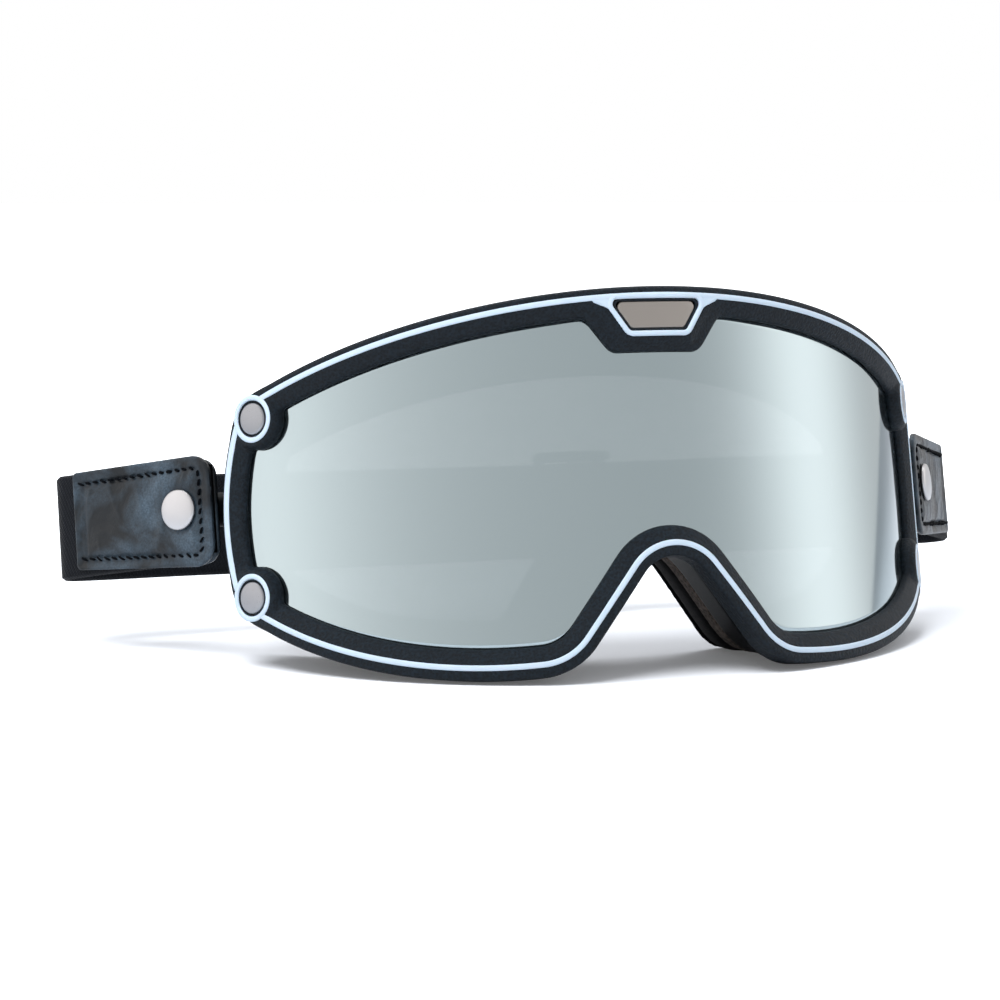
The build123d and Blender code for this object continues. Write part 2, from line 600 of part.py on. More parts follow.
def build():
    nodes = make_front()
    nodes.update(make_face_parts())
    side = make_tab()
    side["tongue_mount"] = make_lug()
    for name, shape in side.items():
        nodes[name + "_left"] = shape
        nodes[name + "_right"] = mirror(shape, about=Plane.YZ)
    nodes["elastic_strap"] = make_strap()
    nodes.update(make_slider())
    return nodes


def place(nodes):
    """Lean the goggles back to rest, on z = 0 and centred on their box."""
    lean = rest_lean()
    leaned = {name: Rot(-lean, 0, 0) * shape for name, shape in nodes.items()}
    boxes = [shape.bounding_box() for shape in leaned.values()]
    low = Vector(*[min(getattr(box.min, k) for box in boxes) for k in "XYZ"])
    high = Vector(*[max(getattr(box.max, k) for box in boxes) for k in "XYZ"])
    shift = Pos(-(low.X + high.X) / 2, -(low.Y + high.Y) / 2, -low.Z)
    print("lean", round(lean, 3), "shift", shift.position)
    return {name: shift * shape for name, shape in leaned.items()}


def main():
    os.makedirs("parts", exist_ok=True)
    for name, shape in place(build()).items():
        export_step(single(shape), "parts/" + name + ".step")


if __name__ == "__main__":
    main()
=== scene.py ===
"""Motorcycle goggles: the visual model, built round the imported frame.

Laid out as an add-on: the sizes and colours a user would change are properties, each piece
or group of like pieces has an operator, and one panel lists them.  Lengths are in metres.
Shapes are worked out in the goggle frame, upright, with the lens facing -Y, and put into
the row frame, leaned back as the goggles rest, at the very end of each one.
"""
import json
import math

import bmesh
import bpy
import numpy as np
from bpy.props import FloatProperty, FloatVectorProperty, PointerProperty
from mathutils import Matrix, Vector


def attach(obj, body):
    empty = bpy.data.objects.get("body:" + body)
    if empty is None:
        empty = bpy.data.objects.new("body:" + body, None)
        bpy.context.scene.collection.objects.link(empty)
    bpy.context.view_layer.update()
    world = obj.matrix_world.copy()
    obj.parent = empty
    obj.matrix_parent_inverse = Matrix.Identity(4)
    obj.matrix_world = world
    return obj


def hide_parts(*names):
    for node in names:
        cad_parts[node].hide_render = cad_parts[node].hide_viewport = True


bl_info = {
    "name": "Motorcycle goggles",
    "version": (1, 0, 0),
    "blender": (4, 5, 0),
    "location": "View3D > Sidebar > Goggles",
    "description": "Builds the goggles' frame, lens, face pad, tabs and strap",
    "category": "Object",
}

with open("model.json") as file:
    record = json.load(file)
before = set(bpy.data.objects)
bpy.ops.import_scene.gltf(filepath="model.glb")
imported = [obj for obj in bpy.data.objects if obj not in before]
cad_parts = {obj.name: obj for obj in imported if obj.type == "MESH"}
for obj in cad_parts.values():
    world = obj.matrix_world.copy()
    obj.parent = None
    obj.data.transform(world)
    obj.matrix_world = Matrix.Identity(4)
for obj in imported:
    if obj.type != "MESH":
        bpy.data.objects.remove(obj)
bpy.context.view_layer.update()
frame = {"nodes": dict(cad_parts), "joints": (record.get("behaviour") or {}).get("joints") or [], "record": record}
MM = 0.001
SIDES = {"left": 1.0, "right": -1.0}


def linear(code):
    """An sRGB hex colour as linear red, green and blue."""
    values = [int(code[i:i + 2], 16) / 255 for i in (1, 3, 5)]
    return tuple(v / 12.92 if v <= 0.04045 else ((v + 0.055) / 1.055) ** 2.4 for v in values)


def length(name, words, millimetres):
    return FloatProperty(name=name, description=words, default=millimetres * MM,
                         unit="LENGTH", subtype="DISTANCE", precision=5)


def colour(name, words, code):
    return FloatVectorProperty(name=name, description=words, default=linear(code),
                               subtype="COLOR", size=3, min=0.0, max=1.0)


# --- properties ------------------------------------------------------------------------
class GoggleSizes(bpy.types.PropertyGroup):
    """Sizes of the frame, tabs and strap."""
    wrap: length("Wrap radius", "Radius of the frame's front about its upright axis", 102.3)
    top: length("Top height", "Frame's top edge above the rivets' middle", 43.9)
    low: length("Low depth", "Frame's lowest edge below the rivets' middle", 44.4)
    corner: length("Corner radius", "Frame's edge round each rivet", 5.4)
    band_top: length("Top band", "Frame outside the piping, at the top", 1.6)
    band_side: length("Side band", "Frame outside the piping, at the sides", 1.1)
    band_low: length("Low band", "Frame outside the piping, below", 2.3)
    piping: length("Piping width", "Width of the pale piping", 1.3)
    inner_top: length("Top rim", "Frame between piping and lens, at the top", 3.5)
    inner_side: length("Side rim", "Frame between piping and lens, at the sides", 3.4)
    inner_low: length("Low rim", "Frame between piping and lens, below", 3.6)
    ring: length("Ring radius", "Piping round each rivet", 5.7)
    cap: length("Cap radius", "Rivet cap", 3.85)
    collar: length("Collar radius", "Frame's bump round each rivet, towards the lens", 7.3)
    lens_depth: length("Lens depth", "Frame's front to the lens", 3.3)
    stitch: length("Stitch pitch", "From one stitch to the next", 2.25)
    thread: length("Thread width", "Sewing thread's width", 0.66)
    web_width: length("Webbing width", "Width of the elastic webbing", 25.0)


class GoggleColours(bpy.types.PropertyGroup):
    """Colours of the finishes."""
    frame: colour("Frame", "Soft moulded rubber of the outer frame", "#10181f")
    piping: colour("Piping", "Pale inlaid piping", "#b0c0cf")
    lens: colour("Lens", "Mirror coat on the lens", "#9ca9ad")
    steel: colour("Rivets", "Satin steel of the rivet caps", "#87898d")
    snap: colour("Snaps", "Polished satin steel of the snap caps", "#adadaf")
    badge: colour("Badge", "Brushed badge plate", "#8b8681")
    leather: colour("Leather", "Glazed leather of the tabs", "#11171c")
    webbing: colour("Webbing", "Elastic webbing", "#0b0e13")
    shell: colour("Shell", "Moulded face shell", "#050608")
    mesh: colour("Vent mesh", "Open-cell strip behind the shell", "#4a423c")
    foam: colour("Foam", "Face foam", "#0d0d0f")
    fleece: colour("Fleece", "Fleece that lies on the face", "#08080a")


def sizes():
    return bpy.context.scene.goggle_sizes


def colours():
    return bpy.context.scene.goggle_colours


# --- the goggle frame's place in the row frame -------------------------------------------
def read_place():
    """Lean angle and shift from the goggle frame to the row frame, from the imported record.

    The face seal's axis is the goggle frame's +Y, and the strap's hinge passes through
    PIVOT there."""
    record = frame["record"]
    seal = next(m for m in record["mounts"] if m["name"] == "face_seal")
    lean = math.atan2(-seal["axis"][2], seal["axis"][1])
    hinge = next(j for j in frame["joints"] if j["name"] == "strap_swing")
    turned = lean_back(np.array([[0.0, PIVOT[0], PIVOT[1]]]), lean)[0]
    return lean, np.array(hinge["pos_m"]) - turned


def lean_back(points, angle):
    """Turns points about the X axis, so that the top goes back."""
    out = np.array(points, float)
    y, z = out[..., 1].copy(), out[..., 2].copy()
    out[..., 1] = y * math.cos(angle) + z * math.sin(angle)
    out[..., 2] = -y * math.sin(angle) + z * math.cos(angle)
    return out


PIVOT = (63.5 * MM, 2.0 * MM)
LEAN, SHIFT = read_place()


def to_row(points):
    return lean_back(points, LEAN) + SHIFT


# --- flat outlines ------------------------------------------------------------------------
RIVET_TOP = np.array([100.6, 21.3]) * MM
RIVET_LOW = np.array([104.1, -20.3]) * MM
SIDE_RADIUS, CHEEK_RADIUS, LOBE_RADIUS = 54.0 * MM, 132.0 * MM, 16.9 * MM
NOSE_TOP, NOSE_RADIUS, NOSE_FLANK = 18.4 * MM, 9.6 * MM, math.radians(52.0)
BADGE_TOP, BADGE_LOW = (40.3 * MM, 21.6 * MM), (34.0 * MM, 13.3 * MM)
NOTCH_Z, NOTCH_HALF, NOTCH_SLOPE = 28.9 * MM, 11.25 * MM, 1.35
HALF_COUNTS = {"crown": 200, "corner": 26, "side": 70, "cheek": 110, "lobe": 34,
               "flank": 26, "bridge": 24}


def arc(centre, radius, start, end, count):
    """Points at centre + radius * (cos a, sin a), for a from start to end."""
    a = np.linspace(start, end, count)
    return np.stack([centre[0] + radius * np.cos(a), centre[1] + radius * np.sin(a)], 1)


def heading(a, b):
    return math.atan2(b[1] - a[1], b[0] - a[0])


def crossing(c1, r1, c2, r2, near):
    """Where two circles cross, the point nearest to a given one."""
    c1, c2, near = np.array(c1), np.array(c2), np.array(near)
    gap = np.linalg.norm(c2 - c1)
    a = (r1 * r1 - r2 * r2 + gap * gap) / (2 * gap)
    h = math.sqrt(max(r1 * r1 - a * a, 0.0))
    u = (c2 - c1) / gap
    side = np.array([-u[1], u[0]])
    return min((c1 + a * u + k * h * side for k in (1, -1)),
               key=lambda p: np.linalg.norm(p - near))


def arc_centres():
    """Centres and radii of the edge's arcs, each touching its neighbours."""
    s = sizes()
    drop = s.top - RIVET_TOP[1]
    top_r = (RIVET_TOP[0]**2 + drop**2 - s.corner**2) / (2 * (drop - s.corner))
    side = crossing(RIVET_TOP, SIDE_RADIUS - s.corner, RIVET_LOW, SIDE_RADIUS - s.corner, (0, 0))
    cheek_z = CHEEK_RADIUS - s.low
    cheek_s = RIVET_LOW[0] - math.sqrt((CHEEK_RADIUS - s.corner)**2 - (cheek_z - RIVET_LOW[1])**2)
    nose = np.array([0.0, -NOSE_TOP - NOSE_RADIUS])
    normal = np.array([math.sin(NOSE_FLANK), math.cos(NOSE_FLANK)])
    along = np.array([normal[1], -normal[0]])
    reach = CHEEK_RADIUS - LOBE_RADIUS
    offset = nose + (NOSE_RADIUS + LOBE_RADIUS) * normal - np.array([cheek_s, cheek_z])
    half = offset @ along
    run = -half + math.sqrt(half**2 - (offset @ offset - reach**2))
    lobe = np.array([cheek_s, cheek_z]) + offset + run * along
    return {"top": ((0.0, s.top - top_r), top_r), "side": (side, SIDE_RADIUS),
            "cheek": ((cheek_s, cheek_z), CHEEK_RADIUS), "lobe": (lobe, LOBE_RADIUS),
            "nose": (nose, NOSE_RADIUS)}


def join_half(runs):
    """Joins runs from the top's middle to the nose's, and adds their mirror image."""
    half = np.concatenate([runs[0]] + [r[1:] for r in runs[1:]])
    mirror = half[1:-1][::-1] * np.array([-1.0, 1.0])
    return np.concatenate([half, mirror])


def lower_runs(low, start):
    """Cheek, lobe, flank and nose, inset by low, from a heading on the cheek's arc."""
    c = arc_centres()
    (cc, rc), (cl, rl), (cn, rn) = c["cheek"], c["lobe"], c["nose"]
    turn = heading(cc, cl)
    flank = math.pi / 2 - NOSE_FLANK
    lobe = arc(cl, rl - low, turn, flank - math.pi, HALF_COUNTS["lobe"])
    bridge = arc(cn, rn + low, flank, math.pi / 2, HALF_COUNTS["bridge"])
    line = lobe[-1] + (bridge[0] - lobe[-1]) * np.linspace(0, 1, HALF_COUNTS["flank"])[:, None]
    return [arc(cc, rc - low, start, turn, HALF_COUNTS["cheek"]), lobe, line, bridge]


def edge_loop(inset=0.0):
    """The frame's outer edge, inset evenly, as a closed loop of flat points."""
    c, s = arc_centres(), sizes()
    (ct, rt), (cs, rs), cc = c["top"], c["side"], c["cheek"][0]
    a, b = heading(ct, RIVET_TOP), heading(cs, RIVET_TOP)
    d, e = heading(cs, RIVET_LOW), heading(cc, RIVET_LOW)
    corner = max(s.corner - inset, 0.05 * MM)
    crown = arc(ct, rt - inset, math.pi / 2, a, HALF_COUNTS["crown"])
    runs = [crown, arc(RIVET_TOP, corner, a, b, HALF_COUNTS["corner"]),
            arc(cs, rs - inset, b, d, HALF_COUNTS["side"]),
            arc(RIVET_LOW, corner, d, e, HALF_COUNTS["corner"])]
    return join_half(runs + lower_runs(inset, e))


def window_insets():
    s = sizes()
    return (s.band_top + s.piping + s.inner_top, s.band_side + s.piping + s.inner_side,
            s.band_low + s.piping + s.inner_low)


def window_loop():
    """The lens opening, station for station with edge_loop: bumps at rivets, badge notch.

    Along the top the height is the lower of the arc and the notch's line, eased together."""
    c, s = arc_centres(), sizes()
    top, side, low = window_insets()
    (ct, rt), (cs, rs), (cc, rc) = c["top"], c["side"], c["cheek"]
    rt, rs, rc = rt - top, rs - side, rc - low
    p1 = crossing(RIVET_TOP, s.collar, ct, rt, RIVET_TOP + (-s.collar, 0))
    p2 = crossing(RIVET_TOP, s.collar, cs, rs, RIVET_TOP + (0, -s.collar))
    p3 = crossing(RIVET_LOW, s.collar, cs, rs, RIVET_LOW + (0, s.collar))
    p4 = crossing(RIVET_LOW, s.collar, cc, rc, RIVET_LOW + (-s.collar, 0))
    across = np.linspace(0, 1, HALF_COUNTS["crown"])**0.85 * p1[0]
    height = ct[1] + np.sqrt(rt**2 - across**2)
    notch = ease_high(NOTCH_Z, NOTCH_Z + NOTCH_SLOPE * (across - NOTCH_HALF), 0.9 * MM)
    crown = np.stack([across, ease_low(height, notch, 0.8 * MM)], 1)
    runs = [crown, collar_arc(RIVET_TOP, p1, p2), arc(cs, rs, heading(cs, p2), heading(cs, p3),
                                                      HALF_COUNTS["side"]),
            collar_arc(RIVET_LOW, p3, p4)]
    return soften(join_half(runs + lower_runs(low, heading(cc, p4))), 3)


def collar_arc(rivet, start, end):
    """The lens side of the circle round a rivet, anticlockwise from start to end."""
    a, b = heading(rivet, start), heading(rivet, end)
    return arc(rivet, sizes().collar, a, a + (b - a) % (2 * math.pi), HALF_COUNTS["corner"])


def ease_low(a, b, radius):
    """The smaller of a and b, rounded where they cross."""
    h = np.clip(0.5 + 0.5 * (b - a) / radius, 0, 1)
    return b + (a - b) * h - radius * h * (1 - h)


def ease_high(a, b, radius):
    return -ease_low(-np.asarray(a) * np.ones_like(b), -b, radius)


def soften(loop, passes):
    """Averages each point of a closed loop with its neighbours, to round sharp turns."""
    for _ in range(passes):
        loop = 0.5 * loop + 0.25 * (np.roll(loop, 1, 0) + np.roll(loop, -1, 0))
    return loop


def resample(loop, count):
    """A closed loop's points, evenly spaced along it, starting at its first."""
    closed = np.concatenate([loop, loop[:1]])
    run = np.concatenate([[0], np.cumsum(np.linalg.norm(np.diff(closed, axis=0), axis=1))])
    at = np.linspace(0, run[-1], count, endpoint=False)
    return np.stack([np.interp(at, run, closed[:, k]) for k in range(loop.shape[1])], 1)


def outward(loop):
    """Unit normals of a clockwise flat loop, pointing out of it."""
    d = np.roll(loop, -1, 0) - np.roll(loop, 1, 0)
    n = np.stack([-d[:, 1], d[:, 0]], 1)
    return n / np.linalg.norm(n, axis=1)[:, None]


def distance_to(points, loop):
    """Distance from each flat point to the nearest point of a dense loop."""
    flat = points.reshape(-1, 2)
    out = np.empty(len(flat))
    for i in range(0, len(flat), 4000):
        gap = flat[i:i + 4000, None, :] - loop[None, :, :]
        out[i:i + 4000] = np.sqrt((gap**2).sum(2).min(1))
    return out.reshape(points.shape[:-1])


def wrap(flat, depth):
    """Flat (s, z) points on the upright cylinder, depth behind the frame's front.

    x = (R - depth) sin(s / R), y = R - (R - depth) cos(s / R), z stays."""
    radius = sizes().wrap
    angle = flat[..., 0] / radius
    r = radius - depth
    return np.stack([r * np.sin(angle), radius - r * np.cos(angle), flat[..., 1] + 0 * r], -1)


# --- meshes ------------------------------------------------------------------------------
def add_piece(name, points, faces, body, material, uv=None):
    """A new smooth mesh object in the row frame, riding on a body."""
    mesh = bpy.data.meshes.new(name)
    mesh.from_pydata(to_row(points.reshape(-1, 3)), [], faces)
    if uv is not None:
        layer = mesh.uv_layers.new(name="Surface")
        layer.data.foreach_set("uv", uv.astype(np.float32).ravel())
    mesh.polygons.foreach_set("use_smooth", np.ones(len(mesh.polygons), bool))
    mesh.materials.append(material)
    piece = bpy.data.objects.new(name, mesh)
    bpy.context.scene.collection.objects.link(piece)
    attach(piece, body)
    return piece


def grid_faces(rows, columns, close_rows, close_columns):
    """Quads of a grid of points, row by row, with either direction closed on itself."""
    i = np.arange(rows if close_rows else rows - 1)[:, None]
    j = np.arange(columns if close_columns else columns - 1)[None, :]
    a, b = i * columns + j, i * columns + (j + 1) % columns
    d, c = (i + 1) % rows * columns + j, (i + 1) % rows * columns + (j + 1) % columns
    return np.stack([a, b, c, d], -1).reshape(-1, 4)


def grid_uv(us, vs):
    """Face-corner UVs for a grid: us and vs have one more entry where a direction closes."""
    u, v = np.meshgrid(us, vs, indexing="xy")
    a, b = np.stack([u[:-1, :-1], v[:-1, :-1]], -1), np.stack([u[:-1, 1:], v[:-1, 1:]], -1)
    c, d = np.stack([u[1:, 1:], v[1:, 1:]], -1), np.stack([u[1:, :-1], v[1:, :-1]], -1)
    return np.stack([a, b, c, d], 2).reshape(-1, 2)


def face_outwards(piece):
    """Makes a closed mesh's faces point out of it."""
    work = bmesh.new()
    work.from_mesh(piece.data)
    bmesh.ops.recalc_face_normals(work, faces=work.faces)
    work.to_mesh(piece.data)
    work.free()
    return piece


def closed_ring(name, points, body, material, uv=None):
    """A ring whose rows go round its section and whose columns go round the goggles."""
    rows, columns = points.shape[:2]
    piece = add_piece(name, points, grid_faces(rows, columns, True, True), body, material, uv)
    return face_outwards(piece)


def capped_tube(name, points, body, material, uv=None):
    """A tube whose columns go round its section, closed by a face at each end."""
    rows, columns = points.shape[:2]
    faces = grid_faces(rows, columns, False, True).tolist()
    faces.append(list(range(columns)))
    faces.append(list(range((rows - 1) * columns, rows * columns)))
    if uv is not None:
        uv = np.concatenate([uv, np.zeros((2 * columns, 2))])
    return face_outwards(add_piece(name, points, faces, body, material, uv))


# --- materials -----------------------------------------------------------------------------
def add(tree, kind, inputs=None, **settings):
    """Adds a node with its settings; each input is a value or a socket to link from."""
    made = tree.nodes.new("ShaderNode" + kind)
    for key, value in settings.items():
        setattr(made, key, value)
    for key, value in (inputs or {}).items():
        if isinstance(value, bpy.types.NodeSocket):
            tree.links.new(value, made.inputs[key])
        else:
            made.inputs[key].default_value = value
    return made


def new_material(name):
    """An empty node material, its tree, and its Object coordinates."""
    material = bpy.data.materials.new(name)
    material.use_nodes = True
    tree = material.node_tree
    tree.nodes.clear()
    return material, tree, add(tree, "TexCoord")


def output(tree, shader):
    add(tree, "OutputMaterial", {"Surface": shader})


def rgba(values):
    return (*values, 1.0)


def shade(values, factor):
    return tuple(min(v * factor, 1.0) for v in values) + (1.0,)


def moulded_tpu():
    """Soft TPU moulded in a leather-grained tool: fine pebbles, a low even sheen, and painted shade that darkens
    the crevices between the pebbles.
    """
    material, tree, at = new_material("moulded_tpu_grained")
    place = at.outputs["Object"]
    cells = add(tree, "TexVoronoi", {"Vector": place, "Scale": 1 / (0.55 * MM),
                                               "Randomness": 1.0}, feature="SMOOTH_F1")
    grain = add(tree, "TexNoise", {"Vector": place, "Scale": 1 / (0.9 * MM),
                                             "Detail": 4.0, "Roughness": 0.65})
    pebble = add(tree, "Math", {0: cells.outputs["Distance"],
                                          1: grain.outputs["Fac"]}, operation="MULTIPLY")
    bump = add(tree, "Bump", {"Height": pebble.outputs[0], "Strength": 0.9,
                                        "Distance": 0.3 * MM})
    rub = add(tree, "TexNoise", {"Vector": place, "Scale": 1 / (14 * MM), "Detail": 3.0})
    base = colours().frame
    worn = add(tree, "Mix", {"Factor": rub.outputs["Fac"], "A": shade(base, 0.8),
                                       "B": shade(base, 1.5)}, data_type="RGBA")
    # Painted shade: in the crevices between the pebbles the colour falls to about a third of the base, so the
    # grain shows darker there under any light.
    crown = add(tree, "MapRange", {"Value": pebble.outputs[0], "From Min": 0.06,
                                             "From Max": 0.34})
    tint = add(tree, "Mix", {"Factor": crown.outputs[0], "A": shade(base, 0.35),
                                       "B": worn.outputs["Result"]}, data_type="RGBA")
    rough = add(tree, "MapRange", {"Value": grain.outputs["Fac"], "From Min": 0.3,
                                             "From Max": 0.7, "To Min": 0.5, "To Max": 0.68})
    skin = add(tree, "BsdfPrincipled", {
        "Base Color": tint.outputs["Result"], "Roughness": rough.outputs[0],
        "Normal": bump.outputs[0], "IOR": 1.5, "Specular IOR Level": 0.16})
    output(tree, skin.outputs[0])
    return material


def inlaid_pvc():
    """Pale PVC piping pressed into its groove: smooth, slightly waxy, faint handling marks."""
    material, tree, at = new_material("inlaid_pvc_piping")
    dust = add(tree, "TexNoise", {"Vector": at.outputs["Object"],
                                            "Scale": 1 / (3 * MM), "Detail": 4.0})
    base = colours().piping
    tint = add(tree, "Mix", {"Factor": dust.outputs["Fac"], "A": shade(base, 0.94),
                                       "B": shade(base, 1.04)}, data_type="RGBA")
    bump = add(tree, "Bump", {"Height": dust.outputs["Fac"], "Strength": 0.15,
                                        "Distance": 0.05 * MM})
    skin = add(tree, "BsdfPrincipled", {
        "Base Color": tint.outputs["Result"], "Roughness": 0.38, "Normal": bump.outputs[0],
        "IOR": 1.53, "Specular IOR Level": 0.35, "Subsurface Weight": 0.08,
        "Subsurface Scale": 0.6 * MM})
    output(tree, skin.outputs[0])
    return material


def mirror_polycarbonate():
    """Hard-coated polycarbonate with a vacuum silver mirror: bright, a little blue-green,
    and just thin enough to let a few percent through."""
    material, tree, at = new_material("mirror_coated_polycarbonate")
    haze = add(tree, "TexNoise", {"Vector": at.outputs["Object"],
                                            "Scale": 1 / (30 * MM), "Detail": 2.0})
    rough = add(tree, "MapRange", {"Value": haze.outputs["Fac"], "To Min": 0.055,
                                             "To Max": 0.085})
    coat = add(tree, "BsdfPrincipled", {
        "Base Color": rgba(colours().lens), "Metallic": 1.0, "Roughness": rough.outputs[0],
        "Alpha": 0.88})
    output(tree, coat.outputs[0])
    return material


def satin_steel(name, base, roughness, grit):
    """Tumbled stainless steel: even satin, a fine random scratch."""
    material, tree, at = new_material(name)
    scratch = add(tree, "TexNoise", {"Vector": at.outputs["Object"],
                                               "Scale": 1 / grit, "Detail": 5.0,
                                               "Roughness": 0.7})
    rough = add(tree, "MapRange", {"Value": scratch.outputs["Fac"], "From Min": 0.3,
                                             "From Max": 0.7, "To Min": roughness - 0.05,
                                             "To Max": roughness + 0.08})
    bump = add(tree, "Bump", {"Height": scratch.outputs["Fac"], "Strength": 0.12,
                                        "Distance": 0.02 * MM})
    steel = add(tree, "BsdfPrincipled", {
        "Base Color": rgba(base), "Metallic": 1.0, "Roughness": rough.outputs[0],
        "Normal": bump.outputs[0]})
    output(tree, steel.outputs[0])
    return material


def brushed_badge():
    """Zinc plate brushed across its width, then lacquered: drawn-out hairlines."""
    material, tree, at = new_material("brushed_zinc_lacquered")
    stretch = add(tree, "Mapping", {"Vector": at.outputs["Object"],
                                              "Scale": (60.0, 700.0, 9000.0)})
    hair = add(tree, "TexNoise", {"Vector": stretch.outputs[0], "Scale": 1.0,
                                            "Detail": 3.0})
    bump = add(tree, "Bump", {"Height": hair.outputs["Fac"], "Strength": 0.2,
                                        "Distance": 0.03 * MM})
    plate = add(tree, "BsdfPrincipled", {
        "Base Color": rgba(colours().badge), "Metallic": 0.85, "Roughness": 0.42,
        "Normal": bump.outputs[0], "Coat Weight": 0.25, "Coat Roughness": 0.3})
    output(tree, plate.outputs[0])
    return material


def glazed_leather():
    """Corrected-grain cowhide, dyed and glazed: soft gloss, blotches of painted highlight for the
    reflections off its folds, fine pores and long shallow creases."""
    material, tree, at = new_material("glazed_cowhide")
    place = at.outputs["Object"]
    pores = add(tree, "TexVoronoi", {"Vector": place, "Scale": 1 / (0.5 * MM)},
                feature="DISTANCE_TO_EDGE")
    pore_depth = add(tree, "MapRange", {"Value": pores.outputs["Distance"],
                                                  "From Max": 0.12})
    crease = add(tree, "TexNoise", {"Vector": place, "Scale": 1 / (13 * MM),
                                              "Detail": 4.0, "Roughness": 0.5,
                                              "Distortion": 0.4})
    scuff_and_glint = add(tree, "TexNoise", {"Vector": place, "Scale": 1 / (0.5 * MM),
                                             "Detail": 3.0})
    fold = add(tree, "Bump", {"Height": crease.outputs["Fac"], "Strength": 0.8,
                                        "Distance": 1.6 * MM})
    bump = add(tree, "Bump", {"Height": pore_depth.outputs[0], "Strength": 0.22,
                                        "Distance": 0.06 * MM, "Normal": fold.outputs[0]})
    base = colours().leather
    # Painted highlight: in blotches, speckled by the fine noise, the colour rises to sixteen times the base. This
    # stands in for reflections off the folds.
    painted_highlight_patches = add(tree, "MapRange", {"Value": crease.outputs["Fac"], "From Min": 0.42,
                                               "From Max": 0.72})
    painted_glint = add(tree, "Math", {0: painted_highlight_patches.outputs[0], 1: scuff_and_glint.outputs["Fac"]},
                operation="MULTIPLY")
    tint = add(tree, "Mix", {"Factor": painted_glint.outputs[0], "A": shade(base, 0.6),
                                       "B": shade(base, 16.0)}, data_type="RGBA")
    rough = add(tree, "MapRange", {"Value": scuff_and_glint.outputs["Fac"], "From Min": 0.3,
                                             "From Max": 0.7, "To Min": 0.3, "To Max": 0.46})
    skin = add(tree, "BsdfPrincipled", {
        "Base Color": tint.outputs["Result"], "Roughness": rough.outputs[0],
        "Normal": bump.outputs[0], "IOR": 1.5, "Specular IOR Level": 0.24})
    output(tree, skin.outputs[0])
    return material


def woven_elastic(name, base, rib):
    """Knitted elastic webbing: ribs along its length, with the weft's short steps between
    them.  UVs are metres along and across the band."""
    material, tree, at = new_material(name)
    uv = at.outputs["UV"]
    split = add(tree, "SeparateXYZ", {"Vector": uv})
    wobble = add(tree, "TexNoise", {"Vector": at.outputs["Object"],
                                              "Scale": 1 / (2 * MM), "Detail": 3.0})
    across = add(tree, "Math", {0: split.outputs["Y"], 1: 2 * math.pi / rib},
                 operation="MULTIPLY")
    along = add(tree, "Math", {0: split.outputs["X"], 1: 2 * math.pi / (0.8 * rib)},
                operation="MULTIPLY")
    ribs = add(tree, "Math", {0: across.outputs[0]}, operation="COSINE")
    lag = add(tree, "Math", {0: across.outputs[0], 1: 0.5}, operation="MULTIPLY")
    step = add(tree, "Math", {0: along.outputs[0], 1: lag.outputs[0]}, operation="ADD")
    weft = add(tree, "Math", {0: step.outputs[0]}, operation="SINE")
    weave = add(tree, "Math", {0: ribs.outputs[0], 1: weft.outputs[0]},
                operation="MULTIPLY")
    height = add(tree, "Math", {0: weave.outputs[0], 1: wobble.outputs["Fac"]},
                 operation="ADD")
    bump = add(tree, "Bump", {"Height": height.outputs[0], "Strength": 0.7,
                                        "Distance": 0.12 * MM})
    # Painted shade and highlight: following the bump's height, the colour is darker in the weave's valleys and
    # lighter on its crests.
    lit = add(tree, "MapRange", {"Value": height.outputs[0], "From Min": -0.6,
                                           "From Max": 1.6})
    tint = add(tree, "Mix", {"Factor": lit.outputs[0], "A": shade(base, 0.55),
                                       "B": shade(base, 1.5)}, data_type="RGBA")
    skin = add(tree, "BsdfPrincipled", {
        "Base Color": tint.outputs["Result"], "Roughness": 0.82, "Normal": bump.outputs[0],
        "Specular IOR Level": 0.15, "Sheen Weight": 0.03, "Sheen Roughness": 0.45})
    output(tree, skin.outputs[0])
    return material


def cellular_foam(name, base, cell, depth, contrast):
    """Reticulated polyurethane foam: open cells, with painted shade in the cells and painted highlight on the
    struts.
    """
    material, tree, at = new_material(name)
    place = at.outputs["Object"]
    cells = add(tree, "TexVoronoi", {"Vector": place, "Scale": 1 / cell})
    fine = add(tree, "TexNoise", {"Vector": place, "Scale": 2 / cell, "Detail": 4.0})
    strut = add(tree, "Math", {0: cells.outputs["Distance"], 1: fine.outputs["Fac"]},
                operation="MULTIPLY")
    # Painted shade and highlight: the hollows of the cells are painted darker and the struts lighter.
    strut_light_and_shade = add(tree, "MapRange", {"Value": strut.outputs[0], "From Min": 0.08,
                                            "From Max": 0.42})
    tint = add(tree, "Mix", {"Factor": strut_light_and_shade.outputs[0],
                                       "A": shade(base, 1 - contrast),
                                       "B": shade(base, 1 + contrast)}, data_type="RGBA")
    bump = add(tree, "Bump", {"Height": strut.outputs[0], "Strength": 0.9,
                                        "Distance": depth})
    skin = add(tree, "BsdfPrincipled", {
        "Base Color": tint.outputs["Result"], "Roughness": 0.95, "Normal": bump.outputs[0],
        "Specular IOR Level": 0.1, "Sheen Weight": 0.03, "Sheen Roughness": 0.6})
    output(tree, skin.outputs[0])
    return material


